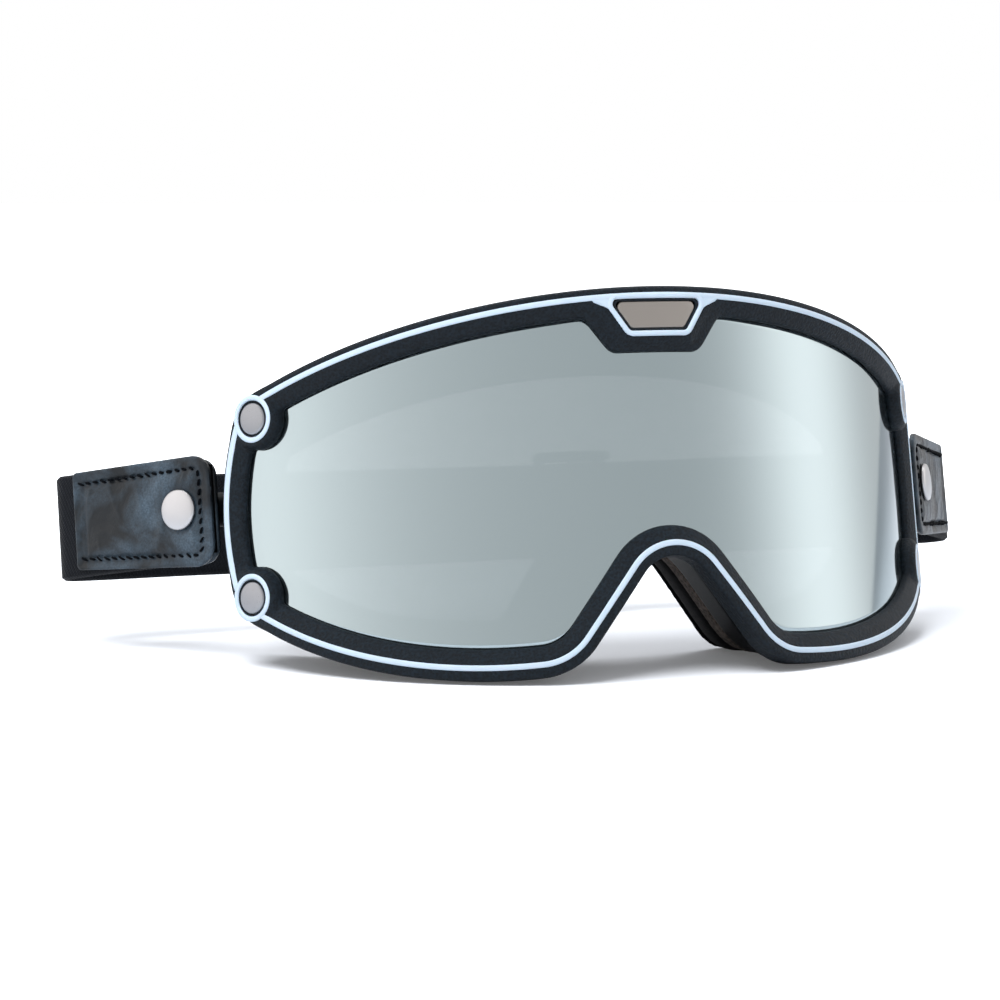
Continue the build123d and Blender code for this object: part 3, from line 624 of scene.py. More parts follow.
def plain_moulding(name, base, roughness, grain):
    """Injection-moulded plastic or thread, with the fine spark-eroded texture of its tool."""
    material, tree, at = new_material(name)
    spark = add(tree, "TexNoise", {"Vector": at.outputs["Object"],
                                             "Scale": 1 / grain, "Detail": 4.0})
    bump = add(tree, "Bump", {"Height": spark.outputs["Fac"], "Strength": 0.3,
                                        "Distance": 0.05 * MM})
    rough = add(tree, "MapRange", {"Value": spark.outputs["Fac"],
                                             "To Min": roughness - 0.08,
                                             "To Max": roughness + 0.08})
    skin = add(tree, "BsdfPrincipled", {
        "Base Color": rgba(base), "Roughness": rough.outputs[0], "Normal": bump.outputs[0],
        "Specular IOR Level": 0.03})
    output(tree, skin.outputs[0])
    return material


def kept_material(name, make, *values):
    """The material of that name, made the first time it is asked for."""
    return bpy.data.materials.get(name) or make(*values)


def materials():
    c = colours()
    return {
        "frame": kept_material("moulded_tpu_grained", moulded_tpu),
        "piping": kept_material("inlaid_pvc_piping", inlaid_pvc),
        "lens": kept_material("mirror_coated_polycarbonate", mirror_polycarbonate),
        "snap": kept_material("burnished_steel", satin_steel, "burnished_steel", c.snap, 0.34,
                              0.3 * MM),
        "steel": kept_material("tumbled_steel", satin_steel, "tumbled_steel", c.steel, 0.3,
                               0.25 * MM),
        "badge": kept_material("brushed_zinc_lacquered", brushed_badge),
        "leather": kept_material("glazed_cowhide", glazed_leather),
        "webbing": kept_material("knitted_elastic", woven_elastic, "knitted_elastic",
                                 c.webbing, 1.1 * MM),
        "shell": kept_material("moulded_shell_tpu", plain_moulding, "moulded_shell_tpu",
                               c.shell, 0.42, 0.3 * MM),
        "thread": kept_material("bonded_nylon_thread", plain_moulding, "bonded_nylon_thread",
                                shade(c.webbing, 0.5)[:3], 0.55, 0.2 * MM),
        "slider": kept_material("moulded_acetal", plain_moulding, "moulded_acetal",
                                c.shell, 0.36, 0.4 * MM),
        "mesh": kept_material("reticulated_foam", cellular_foam, "reticulated_foam",
                              c.mesh, 0.9 * MM, 0.5 * MM, 0.6),
        "foam": kept_material("face_foam_cells", cellular_foam, "face_foam_cells",
                              c.foam, 0.45 * MM, 0.15 * MM, 0.35),
        "fleece": kept_material("brushed_fleece", cellular_foam, "brushed_fleece",
                                c.fleece, 0.35 * MM, 0.25 * MM, 0.7),
    }


def ripples(points, size, seed, waves=7):
    """Smooth random height from -1 to 1: a sum of sines in random directions, each about
    one size from crest to crest."""
    rng = np.random.default_rng(seed)
    total = np.zeros(points.shape[:-1])
    for _ in range(waves):
        way = rng.normal(size=points.shape[-1])
        way *= 2 * math.pi / (size * rng.uniform(0.7, 1.6)) / np.linalg.norm(way)
        total += np.sin(points @ way + rng.uniform(0, 2 * math.pi))
    return total / waves


# --- the frame, its piping, rivets and badge -------------------------------------------------
FRAME_BACK = 5.8 * MM
EDGE_ROUND = 1.1 * MM
BADGE_GAP, BADGE_PIPING = 0.35 * MM, 1.5 * MM
CAP_POCKET = 4.1 * MM
FIELD_ROWS = 34


def smooth_step(value, low, high):
    """0 below low, 1 above high, and eased between."""
    t = np.clip((value - low) / (high - low), 0, 1)
    return t * t * (3 - 2 * t)


def rivet_distance(flat):
    s = np.abs(flat[..., 0])
    return np.minimum(np.hypot(s - RIVET_TOP[0], flat[..., 1] - RIVET_TOP[1]),
                      np.hypot(s - RIVET_LOW[0], flat[..., 1] - RIVET_LOW[1]))


def badge_distance(flat):
    """How far a flat point is outside the badge's trapezoid; negative inside it."""
    (top, half_top), (low, half_low) = badge_corners()
    lean = (half_top - half_low) / (top - low)
    side = np.abs(flat[..., 0]) - half_low - lean * (flat[..., 1] - low)
    return np.maximum(np.maximum(flat[..., 1] - top, low - flat[..., 1]),
                      side / math.hypot(1, lean))


def badge_corners():
    return (BADGE_TOP[0], BADGE_TOP[1] / 2), (BADGE_LOW[0], BADGE_LOW[1] / 2)


def front_depth(flat, edge, window):
    """How far the frame's front lies behind the wrapped face, at flat points on it.

    A flat outer band rounded at the edge; inside the piping a slope down to the lip, level
    round each rivet and the badge; pockets under the rivet caps and the badge."""
    s = sizes()
    from_edge, from_window = distance_to(flat, edge), distance_to(flat, window)
    band = np.interp(flat[..., 1], [-30 * MM, -12 * MM, 12 * MM, 30 * MM],
                     [s.band_low, s.band_side, s.band_side, s.band_top])
    past = np.clip(from_edge - band - s.piping, 0, None)
    share = past / (past + from_window + 0.05 * MM)
    rivet, badge = rivet_distance(flat), badge_distance(flat)
    level = smooth_step(rivet, s.ring, s.ring + 2.2 * MM)
    level = level * smooth_step(badge, 1.6 * MM, 4.5 * MM)
    slope = 2.0 * MM * share**1.2 * level
    round_here = EDGE_ROUND - 0.75 * MM * (1 - smooth_step(rivet, s.ring, s.ring + 4 * MM))
    rounding = round_here - np.sqrt(np.clip(
        round_here**2 - np.clip(round_here - from_edge, 0, None)**2, 0, None))
    lip = np.clip(1 - from_window / (0.8 * MM), 0, 1)
    lip_round = 0.8 * MM * (1 - np.sqrt(np.clip(1 - lip * lip, 0, None)))
    pocket = 1.5 * MM * (1 - smooth_step(rivet, CAP_POCKET + 0.1 * MM, s.ring - 0.4 * MM))
    pocket = pocket + 1.9 * MM * (1 - smooth_step(badge, 0.5 * MM, 1.6 * MM))
    return slope + rounding + lip_round + pocket


def build_frame():
    """The frame's section: under the lip, over the front, round the edge, down the side
    wall and back along the rear."""
    edge, window = edge_loop(), window_loop()
    t = 0.5 - 0.5 * np.cos(np.pi * np.linspace(0, 1, FIELD_ROWS))
    t = 0.75 * t + 0.25 * np.linspace(0, 1, FIELD_ROWS)
    field = window[None] + (edge - window)[None] * t[:, None, None]
    front = wrap(field, front_depth(field, edge, window))
    corner = EDGE_ROUND * 0.6
    inward = outward(edge)
    side = [wrap(edge, np.full(len(edge), d)) for d in
            np.linspace(EDGE_ROUND + 0.4 * MM, FRAME_BACK - corner, 7)]
    bend = [wrap(edge - inward * corner * (1 - math.cos(a)),
                 np.full(len(edge), FRAME_BACK - corner + corner * math.sin(a)))
            for a in (0.4, 0.9, 1.35)]
    grown = window + outward(window) * 2.2 * MM
    back = [wrap(grown, np.full(len(edge), FRAME_BACK)),
            wrap(grown, np.full(len(edge), sizes().lens_depth)),
            wrap(window, np.full(len(edge), sizes().lens_depth))]
    points = np.concatenate([front, np.stack(side + bend + back)])
    piece = closed_ring("frame_moulding", points, "goggles",
                        materials()["frame"])
    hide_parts("outer_frame")
    build_wells()


def band_lines():
    """The piping's middle line: open flat lines that end under the rings at the rivets."""
    c, s = arc_centres(), sizes()
    half = s.piping / 2
    top, side, low = s.band_top + half, s.band_side + half, s.band_low + half
    (ct, rt), (cs, rs), (cc, rc) = c["top"], c["side"], c["cheek"]
    upper = crossing(ct, rt - top, cs, rs - side, RIVET_TOP)
    lower = crossing(cs, rs - side, cc, rc - low, RIVET_LOW)
    end = heading(ct, upper)
    crown = arc(ct, rt - top, math.pi - end, end, 420)
    right = arc(cs, rs - side, heading(cs, upper), heading(cs, lower), 90)
    runs = lower_runs(low, heading(cc, lower))
    half_low = np.concatenate([runs[0]] + [r[1:] for r in runs[1:]])
    below = np.concatenate([half_low, half_low[:-1][::-1] * (-1.0, 1.0)])
    lines = [crown, right, below, right[::-1] * (-1.0, 1.0)]
    return [line[rivet_distance(line) > s.ring - 0.7 * MM] for line in lines]


def piping_section(half, rise, sink, count=9):
    """A low dome between -half and half, with its edges sunk and a flat underside:
    (offset, depth) pairs."""
    a = np.linspace(-1, 1, count)
    dome = [(half * k, sink - (rise + sink) * math.sqrt(max(1 - abs(k)**2.6, 0))) for k in a]
    return dome + [(half, 1.2 * MM), (-half, 1.2 * MM)]


def sweep(line, section, closed):
    """Section points carried along a flat line: rows along it, columns round the section."""
    if closed:
        d = np.roll(line, -1, 0) - np.roll(line, 1, 0)
    else:
        d = np.gradient(line, axis=0)
    n = np.stack([-d[:, 1], d[:, 0]], 1)
    n /= np.linalg.norm(n, axis=1)[:, None]
    rows = [wrap(line + n * offset, np.full(len(line), depth)) for offset, depth in section]
    return np.stack(rows, 1)


def flat_circle(spot, radius, count=96):
    a = np.linspace(0, 2 * math.pi, count, endpoint=False)
    return np.stack([spot[0] + radius * np.cos(a), spot[1] + radius * np.sin(a)], 1)


def badge_loop(grow, radius, count=240):
    """The badge's trapezoid grown by a margin, its corners rounded, as a flat loop."""
    (top, half_top), (low, half_low) = badge_corners()
    lean = (half_top - half_low) / (top - low)
    side = grow * math.hypot(1, lean)
    wide, narrow = half_top + side + grow * lean, half_low + side - grow * lean
    corners = np.array([(-wide, top + grow), (wide, top + grow), (narrow, low - grow),
                        (-narrow, low - grow)])
    return resample(rounded_polygon(corners, [radius] * 4), count)


def rounded_polygon(corners, radii):
    """A convex polygon with each corner turned by an arc of its own radius."""
    points = []
    for k, corner in enumerate(corners):
        before = corners[k - 1] - corner
        after = corners[(k + 1) % len(corners)] - corner
        before, after = before / np.linalg.norm(before), after / np.linalg.norm(after)
        half = math.acos(np.clip(before @ after, -1, 1)) / 2
        inward = (before + after) / np.linalg.norm(before + after)
        centre = corner + inward * radii[k] / math.sin(half)
        reach = radii[k] / math.tan(half)
        start, end = corner + before * reach - centre, corner + after * reach - centre
        for t in np.linspace(0, 1, 12):
            way = start * (1 - t) + end * t
            points.append(centre + way / np.linalg.norm(way) * radii[k])
    return np.array(points)


def spots():
    return [np.array((k * s, z)) for s, z in (RIVET_TOP, RIVET_LOW) for k in (1, -1)]


def build_wells():
    """The frame's own rim round each rivet cap and round the badge, seen as a dark line."""
    finish = materials()["frame"]
    rim = [(-0.3 * MM, 0.2 * MM), (0.0, 0.12 * MM), (0.3 * MM, 0.2 * MM), (0.3 * MM, 1.5 * MM),
           (-0.3 * MM, 1.5 * MM)]
    for k, spot in enumerate(spots()):
        points = sweep(flat_circle(spot, 4.2 * MM), rim, True)
        closed_ring(f"frame_rivet_well_{k + 1}", points, "goggles", finish)
    points = sweep(badge_loop(0.33 * MM, 1.3 * MM), rim, True)
    closed_ring("frame_badge_well", points, "goggles", finish)


def build_gussets(finish):
    """Where the badge's surround meets the top run of piping: two concave fillets."""
    (top, half_top), (low, half_low) = badge_corners()
    lean = (half_top - half_low) / (top - low)
    high = sizes().top - sizes().band_top - 0.6 * MM
    z = np.linspace(high, high - 7.2 * MM, 28)
    drop = (high - z) / (7.2 * MM)
    edge = half_low + lean * (z - low) + 1.1 * MM
    start = edge - 1.6 * MM * (1 - drop)**6
    end = edge + 0.05 * MM + 7.0 * MM * (1 - drop)**3.2
    k = np.linspace(0, 1, 14)
    for name, side in SIDES.items():
        s = side * (start[:, None] + (end - start)[:, None] * k)
        flat = np.stack([s, np.repeat(z[:, None], 14, 1) - 0.07 * MM * (s / (20 * MM))**2], -1)
        depth = -0.1 * MM + 0.2 * MM * smooth_step(np.repeat(k[None], 28, 0), 0.7, 1.0)
        points = np.concatenate([wrap(flat, depth), wrap(flat[:, ::-1], depth * 0 + 1.0 * MM)], 1)
        capped_tube("piping_gusset_" + name, points, "goggles", finish)


def build_piping():
    """Four runs of piping, a ring round each rivet and the surround of the badge."""
    s, finish = sizes(), materials()["piping"]
    build_gussets(finish)
    for k, line in enumerate(band_lines()):
        wider = (0.05 + 0.2 * (k % 2)) * MM
        points = sweep(line, piping_section(s.piping / 2 + wider, 0.16 * MM, 0.06 * MM), False)
        capped_tube(f"piping_run_{k + 1}", points, "goggles", finish)
    inside = CAP_POCKET + 0.3 * MM
    middle, half = (s.ring + inside) / 2 - 0.06 * MM, (s.ring - inside) / 2
    for k, spot in enumerate(spots()):
        points = sweep(flat_circle(spot, middle), piping_section(half, 0.24 * MM, 0.05 * MM), True)
        closed_ring(f"piping_ring_{k + 1}", points, "goggles", finish)
    line = badge_loop(BADGE_GAP + 0.12 * MM + BADGE_PIPING / 2, 1.9 * MM)
    points = sweep(line, piping_section(BADGE_PIPING / 2 - 0.12 * MM, 0.22 * MM, 0.06 * MM), True)
    closed_ring("piping_badge_surround", points, "goggles", finish)
    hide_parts("piping_trim")


def disc(spot, profile, columns=64):
    """A turned piece on a flat spot of the wrapped front: (radius, depth) pairs, as rows."""
    return np.stack([wrap(flat_circle(spot, max(r, 0.01 * MM), columns),
                          np.full(columns, d)) for r, d in profile])


def build_rivets():
    """Low domed caps, each in its pocket; the shanks and washers behind keep their shape."""
    s, finish = sizes(), materials()["steel"]
    a = np.linspace(0, math.pi / 2, 9)
    rim = [(s.cap - 0.7 * MM * (1 - math.sin(x)), 0.55 * MM - 0.7 * MM * math.cos(x)) for x in a]
    crown = [(rim[0][0] * k, -0.15 * MM - 0.14 * MM * (1 - k * k))
             for k in (0.001, 0.2, 0.4, 0.6, 0.8)]
    made = [capped_tube(f"rivet_cap_{k + 1}", disc(spot, crown + rim + [(s.cap, 1.4 * MM)]),
                        "goggles", finish) for k, spot in enumerate(spots())]
    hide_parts("rivet_caps")
    dress("satin_metal", finish, "rivet_shanks", "rivet_washers")


def build_badge():
    """A blank plate: rows step in over a rounded rim, then across the flat to its middle."""
    rim = [(0.0, 1.4), (0.0, 0.62), (0.08, 0.44), (0.25, 0.34), (0.5, 0.3)]
    rows = [wrap(badge_loop(-inset * MM, (1.4 - inset) * MM), np.full(240, depth * MM))
            for inset, depth in rim]
    inner = badge_loop(-0.5 * MM, 0.9 * MM)
    middle = np.array((0.0, (BADGE_TOP[0] + BADGE_LOW[0]) / 2))
    for k in (0.8, 0.6, 0.4, 0.2, 0.02):
        rows.append(wrap(middle + (inner - middle) * k, np.full(240, 0.3 * MM)))
    piece = capped_tube("badge_blank", np.stack(rows), "goggles",
                        materials()["badge"])
    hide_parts("badge_plate")


def dress(slot, material, *names):
    """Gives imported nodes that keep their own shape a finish."""
    for name in names:
        node = frame["nodes"][name]
        node.data.materials.clear()
        node.data.materials.append(material)


# --- the lens ----------------------------------------------------------------------------
def build_lens():
    """The lens as upright rows of its height at each distance across, front and back: an
    exact cylinder, with its edge hidden under the frame's lip."""
    loop = window_loop()
    loop = loop + outward(loop) * 1.5 * MM
    half = loop[:, 0].max() - 0.3 * MM
    across = half * np.sin(np.linspace(-math.pi / 2, math.pi / 2, 421))
    right = loop[: len(loop) // 2 + 1]
    turn = np.argmax(right[:, 0])
    high = np.interp(np.abs(across), *monotone(right[:turn + 1]))
    low = np.interp(np.abs(across), *monotone(right[turn:][::-1]))
    k = np.linspace(0, 1, 26)
    front = np.stack([np.repeat(across[:, None], len(k), 1),
                      low[:, None] + (high - low)[:, None] * k], -1)
    depth = sizes().lens_depth
    points = np.concatenate([wrap(front, np.full(front.shape[:2], depth + 0.02 * MM)),
                             wrap(front[:, ::-1], np.full(front.shape[:2], depth + 1.5 * MM))], 1)
    piece = capped_tube("lens_mirror", points, "goggles", materials()["lens"])
    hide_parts("lens")
    dress("frame_rubber", materials()["shell"], "lens_gasket")


def monotone(line):
    """A line's points as rising x with its y, for interpolation."""
    x = np.maximum.accumulate(line[:, 0] + np.arange(len(line)) * 1e-9)
    return x, line[:, 1]


# --- the face shell and pad ----------------------------------------------------------------
LEDGE_BACK = 8.0 * MM
REAR_INSET, REAR_NARROWING = 6.75 * MM, 0.97
BACK_RADIUS, BACK_MIDDLE = 105.0 * MM, 40.0 * MM
VENT, FOAM, FLEECE = 2.8 * MM, 7.0 * MM, 1.5 * MM
VENT_MORE, FOAM_MORE = 4.5 * MM, 3.0 * MM
SHELL_INSET, SHELL_INNER, SHELL_WALL, BACK_LEDGE = 1.6 * MM, 3.8 * MM, 2.2 * MM, 1.8 * MM
PAD_WIDTH = 8.0 * MM
RIM_COUNTS = (230, 60, 250)


def rim_loop(inset, passes=30):
    """The outline inset evenly, its arcs crossing at the rivets, with stations spaced evenly
    between the top, both corners and the nose, so that any two such loops match."""
    c = arc_centres()
    (ct, rt), (cs, rs), (cc, rc) = c["top"], c["side"], c["cheek"]
    rt, rs, rc = rt - inset, rs - inset, rc - inset
    upper = crossing(ct, rt, cs, rs, RIVET_TOP)
    lower = crossing(cs, rs, cc, rc, RIVET_LOW)
    runs = lower_runs(inset, heading(cc, lower))
    parts = [arc(ct, rt, math.pi / 2, heading(ct, upper), 400),
             arc(cs, rs, heading(cs, upper), heading(cs, lower), 200),
             np.concatenate([runs[0]] + [r[1:] for r in runs[1:]])]
    return soften(join_half([even(p, n) for p, n in zip(parts, RIM_COUNTS)]), passes)


def even(line, count):
    """An open line's points, evenly spaced along it."""
    run = np.concatenate([[0], np.cumsum(np.linalg.norm(np.diff(line, axis=0), axis=1))])
    at = np.linspace(0, run[-1], count)
    return np.stack([np.interp(at, run, line[:, k]) for k in range(2)], 1)


def back_y(x, forward):
    """The face pad's rear surface, or one parallel and that much in front of it."""
    radius = BACK_RADIUS + forward
    return BACK_MIDDLE + BACK_RADIUS - np.sqrt(radius**2 - np.clip(x * x, 0, radius**2 * 0.98))


def wall_line(front_inset, rear_inset):
    """Straight lines from the ledge's back to the face pad's rear, one for each station."""
    start = wrap(rim_loop(front_inset), LEDGE_BACK)
    flat = rim_loop(rear_inset)
    rear = wrap(flat, LEDGE_BACK)
    x = rear[:, 0] * REAR_NARROWING
    return start, np.stack([x, back_y(x, 0.0), flat[:, 1]], 1)


def on_wall(line, forward):
    """Where each of the wall's lines meets the surface parallel to the rear, by bisection."""
    start, end = line
    low, high = np.zeros(len(start)), np.full(len(start), 1.2)
    for _ in range(40):
        t = (low + high) / 2
        p = start + (end - start) * t[:, None]
        short = p[:, 1] < back_y(p[:, 0], forward)
        low, high = np.where(short, t, low), np.where(short, high, t)
    return start + (end - start) * low[:, None]


def rounded_section(width, thick, radius, bulge, count=7):
    """A rounded rectangle, clockwise, as (share of the width, distance from its front)."""
    rows = []
    middles = [(radius, radius, math.pi, 1.5 * math.pi),
               (width - radius, radius, 1.5 * math.pi, 2 * math.pi),
               (width - radius, thick - radius, 0, 0.5 * math.pi),
               (radius, thick - radius, 0.5 * math.pi, math.pi)]
    for cx, cy, a, b in middles:
        for angle in np.linspace(a, b, count):
            rows.append((cx + radius * math.cos(angle), cy + radius * math.sin(angle)))
    dense = resample(np.array(rows), 44)
    out = dense.copy()
    belly = np.sin(np.clip(dense[:, 1] / thick, 0, 1) * math.pi)
    out[:, 0] += bulge * belly * (dense[:, 0] / width * 2 - 1)
    return out / (width, 1.0)


def at_nose(line):
    """1 where a wall line belongs to the nose and lower lobes, easing to 0 at the cheeks."""
    end = line[1]
    return smooth_step(-end[:, 2], -2 * MM, 12 * MM) * (
        1 - smooth_step(np.abs(end[:, 0]), 38 * MM, 62 * MM))


def pad_layer(name, node, front, thick, radius, bulge, rough, size, finish):
    """One layer of the face pad, from outer wall to rim, its surface broken up by noise.
    front and thick are pairs: the measure at the cheeks, and how much it grows at the nose."""
    outer = wall_line(SHELL_INSET, REAR_INSET)
    inner = wall_line(REAR_INSET + PAD_WIDTH, REAR_INSET + PAD_WIDTH)
    nose = at_nose(outer)
    rows = []
    for share, behind in rounded_section(PAD_WIDTH, thick[0], radius, bulge):
        level = front[0] + front[1] * nose - behind * (1 + thick[1] / thick[0] * nose)
        a, b = on_wall(outer, level), on_wall(inner, level)
        rows.append(a + (b - a) * share)
    points = np.stack(rows)
    middle = points.mean(0, keepdims=True)
    out = points - middle
    out /= np.linalg.norm(out, axis=-1, keepdims=True)
    points = points + out * (rough * ripples(points, size, len(name), 12))[..., None]
    piece = closed_ring(name, points, "goggles", finish)
    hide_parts(node)
    return piece


def build_shell():
    """The face shell's section: its ledge under the frame, its side wall, the rear flange
    that carries the pad, and the same way back inside."""
    outer = wall_line(SHELL_INSET, REAR_INSET)
    hollow = wall_line(SHELL_INNER, REAR_INSET + SHELL_WALL)
    pad = VENT + FOAM + FLEECE + (VENT_MORE + FOAM_MORE) * at_nose(outer)
    rim = wall_line(REAR_INSET + PAD_WIDTH, REAR_INSET + PAD_WIDTH)
    rear, flange = on_wall(outer, pad), on_wall(rim, pad)
    flange_front, inside = on_wall(rim, pad + BACK_LEDGE), on_wall(hollow, pad + BACK_LEDGE)
    ledge, hole = rim_loop(0.9 * MM, 16), rim_loop(8.3 * MM, 30)
    start = wrap(rim_loop(SHELL_INSET), LEDGE_BACK)
    rows = [wrap(hole, FRAME_BACK), wrap(ledge, FRAME_BACK), wrap(ledge, LEDGE_BACK - 0.4 * MM),
            wrap(rim_loop(1.2 * MM, 16), LEDGE_BACK - 0.05 * MM)]
    rows += [start + (rear - start) * t
             for t in (0.02, 0.06, 0.12, 0.3, 0.5, 0.7, 0.85, 0.94, 0.985)]
    rows += [rear + (flange - rear) * t for t in (0.05, 0.3, 0.6, 0.93)]
    rows += [flange + (flange_front - flange) * t for t in (0.2, 0.8)]
    rows += [flange_front + (inside - flange_front) * t for t in (0.07, 0.5, 0.9)]
    start_in = wrap(rim_loop(SHELL_INNER), LEDGE_BACK)
    rows += [inside + (start_in - inside) * t for t in (0.08, 0.4, 0.7, 0.95)]
    rows += [wrap(hole, LEDGE_BACK)]
    piece = closed_ring("shell_moulding", np.stack(rows), "goggles",
                        materials()["shell"])
    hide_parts("face_shell")


def build_pad():
    """Vent strip, foam and fleece, each a layer of the face pad."""
    m = materials()
    front = VENT + FOAM + FLEECE
    pad_layer("vent_strip", "vent_mesh", (front, VENT_MORE + FOAM_MORE), (VENT, VENT_MORE),
              0.5 * MM, 0.1 * MM, 0.12 * MM, 1.3 * MM, m["mesh"])
    pad_layer("foam_pad", "face_foam", (front - VENT, FOAM_MORE), (FOAM, FOAM_MORE),
              1.6 * MM, 0.5 * MM, 0.1 * MM, 2.0 * MM, m["foam"])
    pad_layer("fleece_face", "fleece_lining", (FLEECE, 0.0), (FLEECE, 0.0), 0.6 * MM,
              0.5 * MM, 0.25 * MM, 1.2 * MM, m["fleece"])


# --- the leather tabs ------------------------------------------------------------------------
SPLAY = math.radians(51.5)
TAB_START = np.array([93.0, 57.0]) * MM
TAB_NEAR, TAB_FAR = 0.6 * MM, 42.0 * MM
LEATHER, TONGUE = 1.3 * MM, 1.6 * MM
SNAP = np.array([9.5, 2.4]) * MM
STITCH_INSET = 3.0 * MM


def on_tab(along, up, level, side):
    """Tab coordinates in the goggle frame: along the tab, up it, and out of its face."""
    x = TAB_START[0] + along * math.cos(SPLAY) + level * math.sin(SPLAY)
    y = TAB_START[1] + along * math.sin(SPLAY) - level * math.cos(SPLAY)
    return np.stack([x * side + 0 * up, y + 0 * up, up + 0 * x], -1)


def tab_outline(inset, count=360, longer=0.0):
    """The leather's edge: round corners at the frame end, tighter ones where it is sewn."""
    far = TAB_FAR - inset + longer
    corners = np.array([(TAB_NEAR + inset, -11.9 * MM + inset), (far, -8.9 * MM + inset),
                        (far, 14.8 * MM - inset), (TAB_NEAR + inset, 14.9 * MM - inset)])
    near, tight = max(5 * MM - inset, 1 * MM), max(1.4 * MM - inset, 0.3 * MM)
    return resample(rounded_polygon(corners, [near, tight, tight, near]), count)


def leather_sheet(name, node, side_name, level, inset, puff):
    """A leather layer: columns along it, each running up the front and down the back.  Its
    front is a rounded edge, a groove under the stitches, a soft swell inside them, a drop
    where the stiff tongue under it ends, and creases."""
    edge = tab_outline(inset, 900)
    left, right = edge[:, 0].min(), edge[:, 0].max()
    along = (left + right) / 2 - (right - left) / 2 * 0.9996 * np.cos(np.linspace(0, math.pi, 150))
    upper, lower = edge[edge[:, 1] > 2 * MM], edge[edge[:, 1] <= 2 * MM]
    high = np.interp(along, *by_first(upper))
    low = np.interp(along, *by_first(lower))
    k = 0.5 - 0.5 * np.cos(np.linspace(0, math.pi, 84))
    flat = np.stack([np.repeat(along[:, None], 84, 1),
                     low[:, None] + (high - low)[:, None] * k], -1)
    inside = distance_to(flat, edge)
    near = np.clip(1 - inside / (0.7 * MM), 0, 1)
    round_edge = 0.55 * MM * (1 - np.sqrt(np.clip(1 - near**2, 0, 1)))
    groove = 0.3 * MM * np.exp(-((inside - STITCH_INSET + inset) / (0.6 * MM))**2)
    groove = groove * (1 - smooth_step(flat[..., 0], TAB_FAR - 4 * MM, TAB_FAR - 2 * MM))
    swell = puff * smooth_step(inside, 2.4 * MM, 6 * MM)
    drop = 0.55 * MM * smooth_step(flat[..., 0] + 1.2 * MM * ripples(flat, 16 * MM, 2),
                                   14.5 * MM, 19 * MM)
    fold = 1 - np.abs(ripples(flat, 12 * MM, 4))
    crease = 0.2 * MM * fold**8 + 0.14 * MM * ripples(flat, 6 * MM, 9)
    calm = smooth_step(np.hypot(flat[..., 0] - SNAP[0], flat[..., 1] - SNAP[1]), 4 * MM, 7 * MM)
    ease = np.clip(inside / (2 * MM), 0, 1)
    top = level - round_edge - groove + ((swell + crease * ease) * calm - drop * ease) * (puff > 0)
    front = on_tab(flat[..., 0], flat[..., 1], top, SIDES[side_name])
    back = on_tab(flat[:, ::-6, 0], flat[:, ::-6, 1], np.full(flat[:, ::-6, 0].shape, level - LEATHER),
                  SIDES[side_name])
    piece = capped_tube(name, np.concatenate([front, back], 1), "strap",
                        materials()["leather"])
    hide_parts(node)
    return piece


def by_first(line):
    """A line's points in order of their first coordinate, for interpolation."""
    order = np.argsort(line[:, 0])
    return line[order, 0], line[order, 1]


def build_stitches(side_name):
    """Sewing thread along the top, the frame end and the bottom: each stitch an arched,
    tapering bead that dives into the leather at both ends."""
    s, side = sizes(), SIDES[side_name]
    rng = np.random.default_rng(3 if side > 0 else 5)
    line = tab_outline(STITCH_INSET, 900, 8 * MM)
    line = line[line[:, 0] < TAB_FAR - 1.4 * MM]
    start = np.argmax(np.linalg.norm(np.diff(line, axis=0, append=line[:1]), axis=1)) + 1
    line = np.roll(line, -start, 0)
    run = np.concatenate([[0], np.cumsum(np.linalg.norm(np.diff(line, axis=0), axis=1))])
    count = int(run[-1] / s.stitch)
    middle = (np.arange(count) + 0.5) * run[-1] / count + rng.normal(0, 0.08 * MM, count)
    t = np.linspace(-0.5, 0.5, 9)
    around = np.linspace(0, 2 * math.pi, 6, endpoint=False)
    at = middle[:, None] + t * s.stitch * rng.uniform(0.66, 0.86, count)[:, None]
    flat = np.stack([np.interp(at, run, line[:, 0]), np.interp(at, run, line[:, 1])], -1)
    tilt = (0.28 + rng.normal(0, 0.12, count))[:, None] * t * s.stitch
    d = np.gradient(flat, axis=1)
    n = np.stack([-d[..., 1], d[..., 0]], -1)
    n /= np.linalg.norm(n, axis=-1, keepdims=True)
    flat = flat + n * tilt[..., None]
    radius = s.thread / 2 * np.sqrt(np.clip(1 - (2 * t)**4, 0.02, 1))
    rise = (0.02 * MM - 0.5 * MM * (2 * t)**4)[None, :, None]
    rise = rise + radius[None, :, None] * np.sin(around)
    across = radius[None, :, None] * np.cos(around)
    u = flat[..., 0][..., None] + n[..., 0][..., None] * across
    z = flat[..., 1][..., None] + n[..., 1][..., None] * across
    points = on_tab(u, z, rise, side).reshape(-1, 3)
    block = grid_faces(len(t), len(around), False, True)
    faces = (block[None] + np.arange(count)[:, None, None] * len(t) * len(around)).reshape(-1, 4)
    thread = add_piece("tab_stitches_" + side_name, points, faces.tolist(), "strap",
                       materials()["thread"])
    face_outwards(thread)


def turned_on_tab(name, node, profile, side_name, finish, columns=72):
    """A turned piece on the snap's axis: (radius, level) pairs, as rows."""
    side = SIDES[side_name]
    a = np.linspace(0, 2 * math.pi, columns, endpoint=False)
    rows = [on_tab(SNAP[0] + r * np.cos(a), SNAP[1] + r * np.sin(a), np.full(columns, h), side)
            for r, h in profile]
    piece = capped_tube(name, np.stack(rows), "strap", finish)
    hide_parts(node)
    return piece


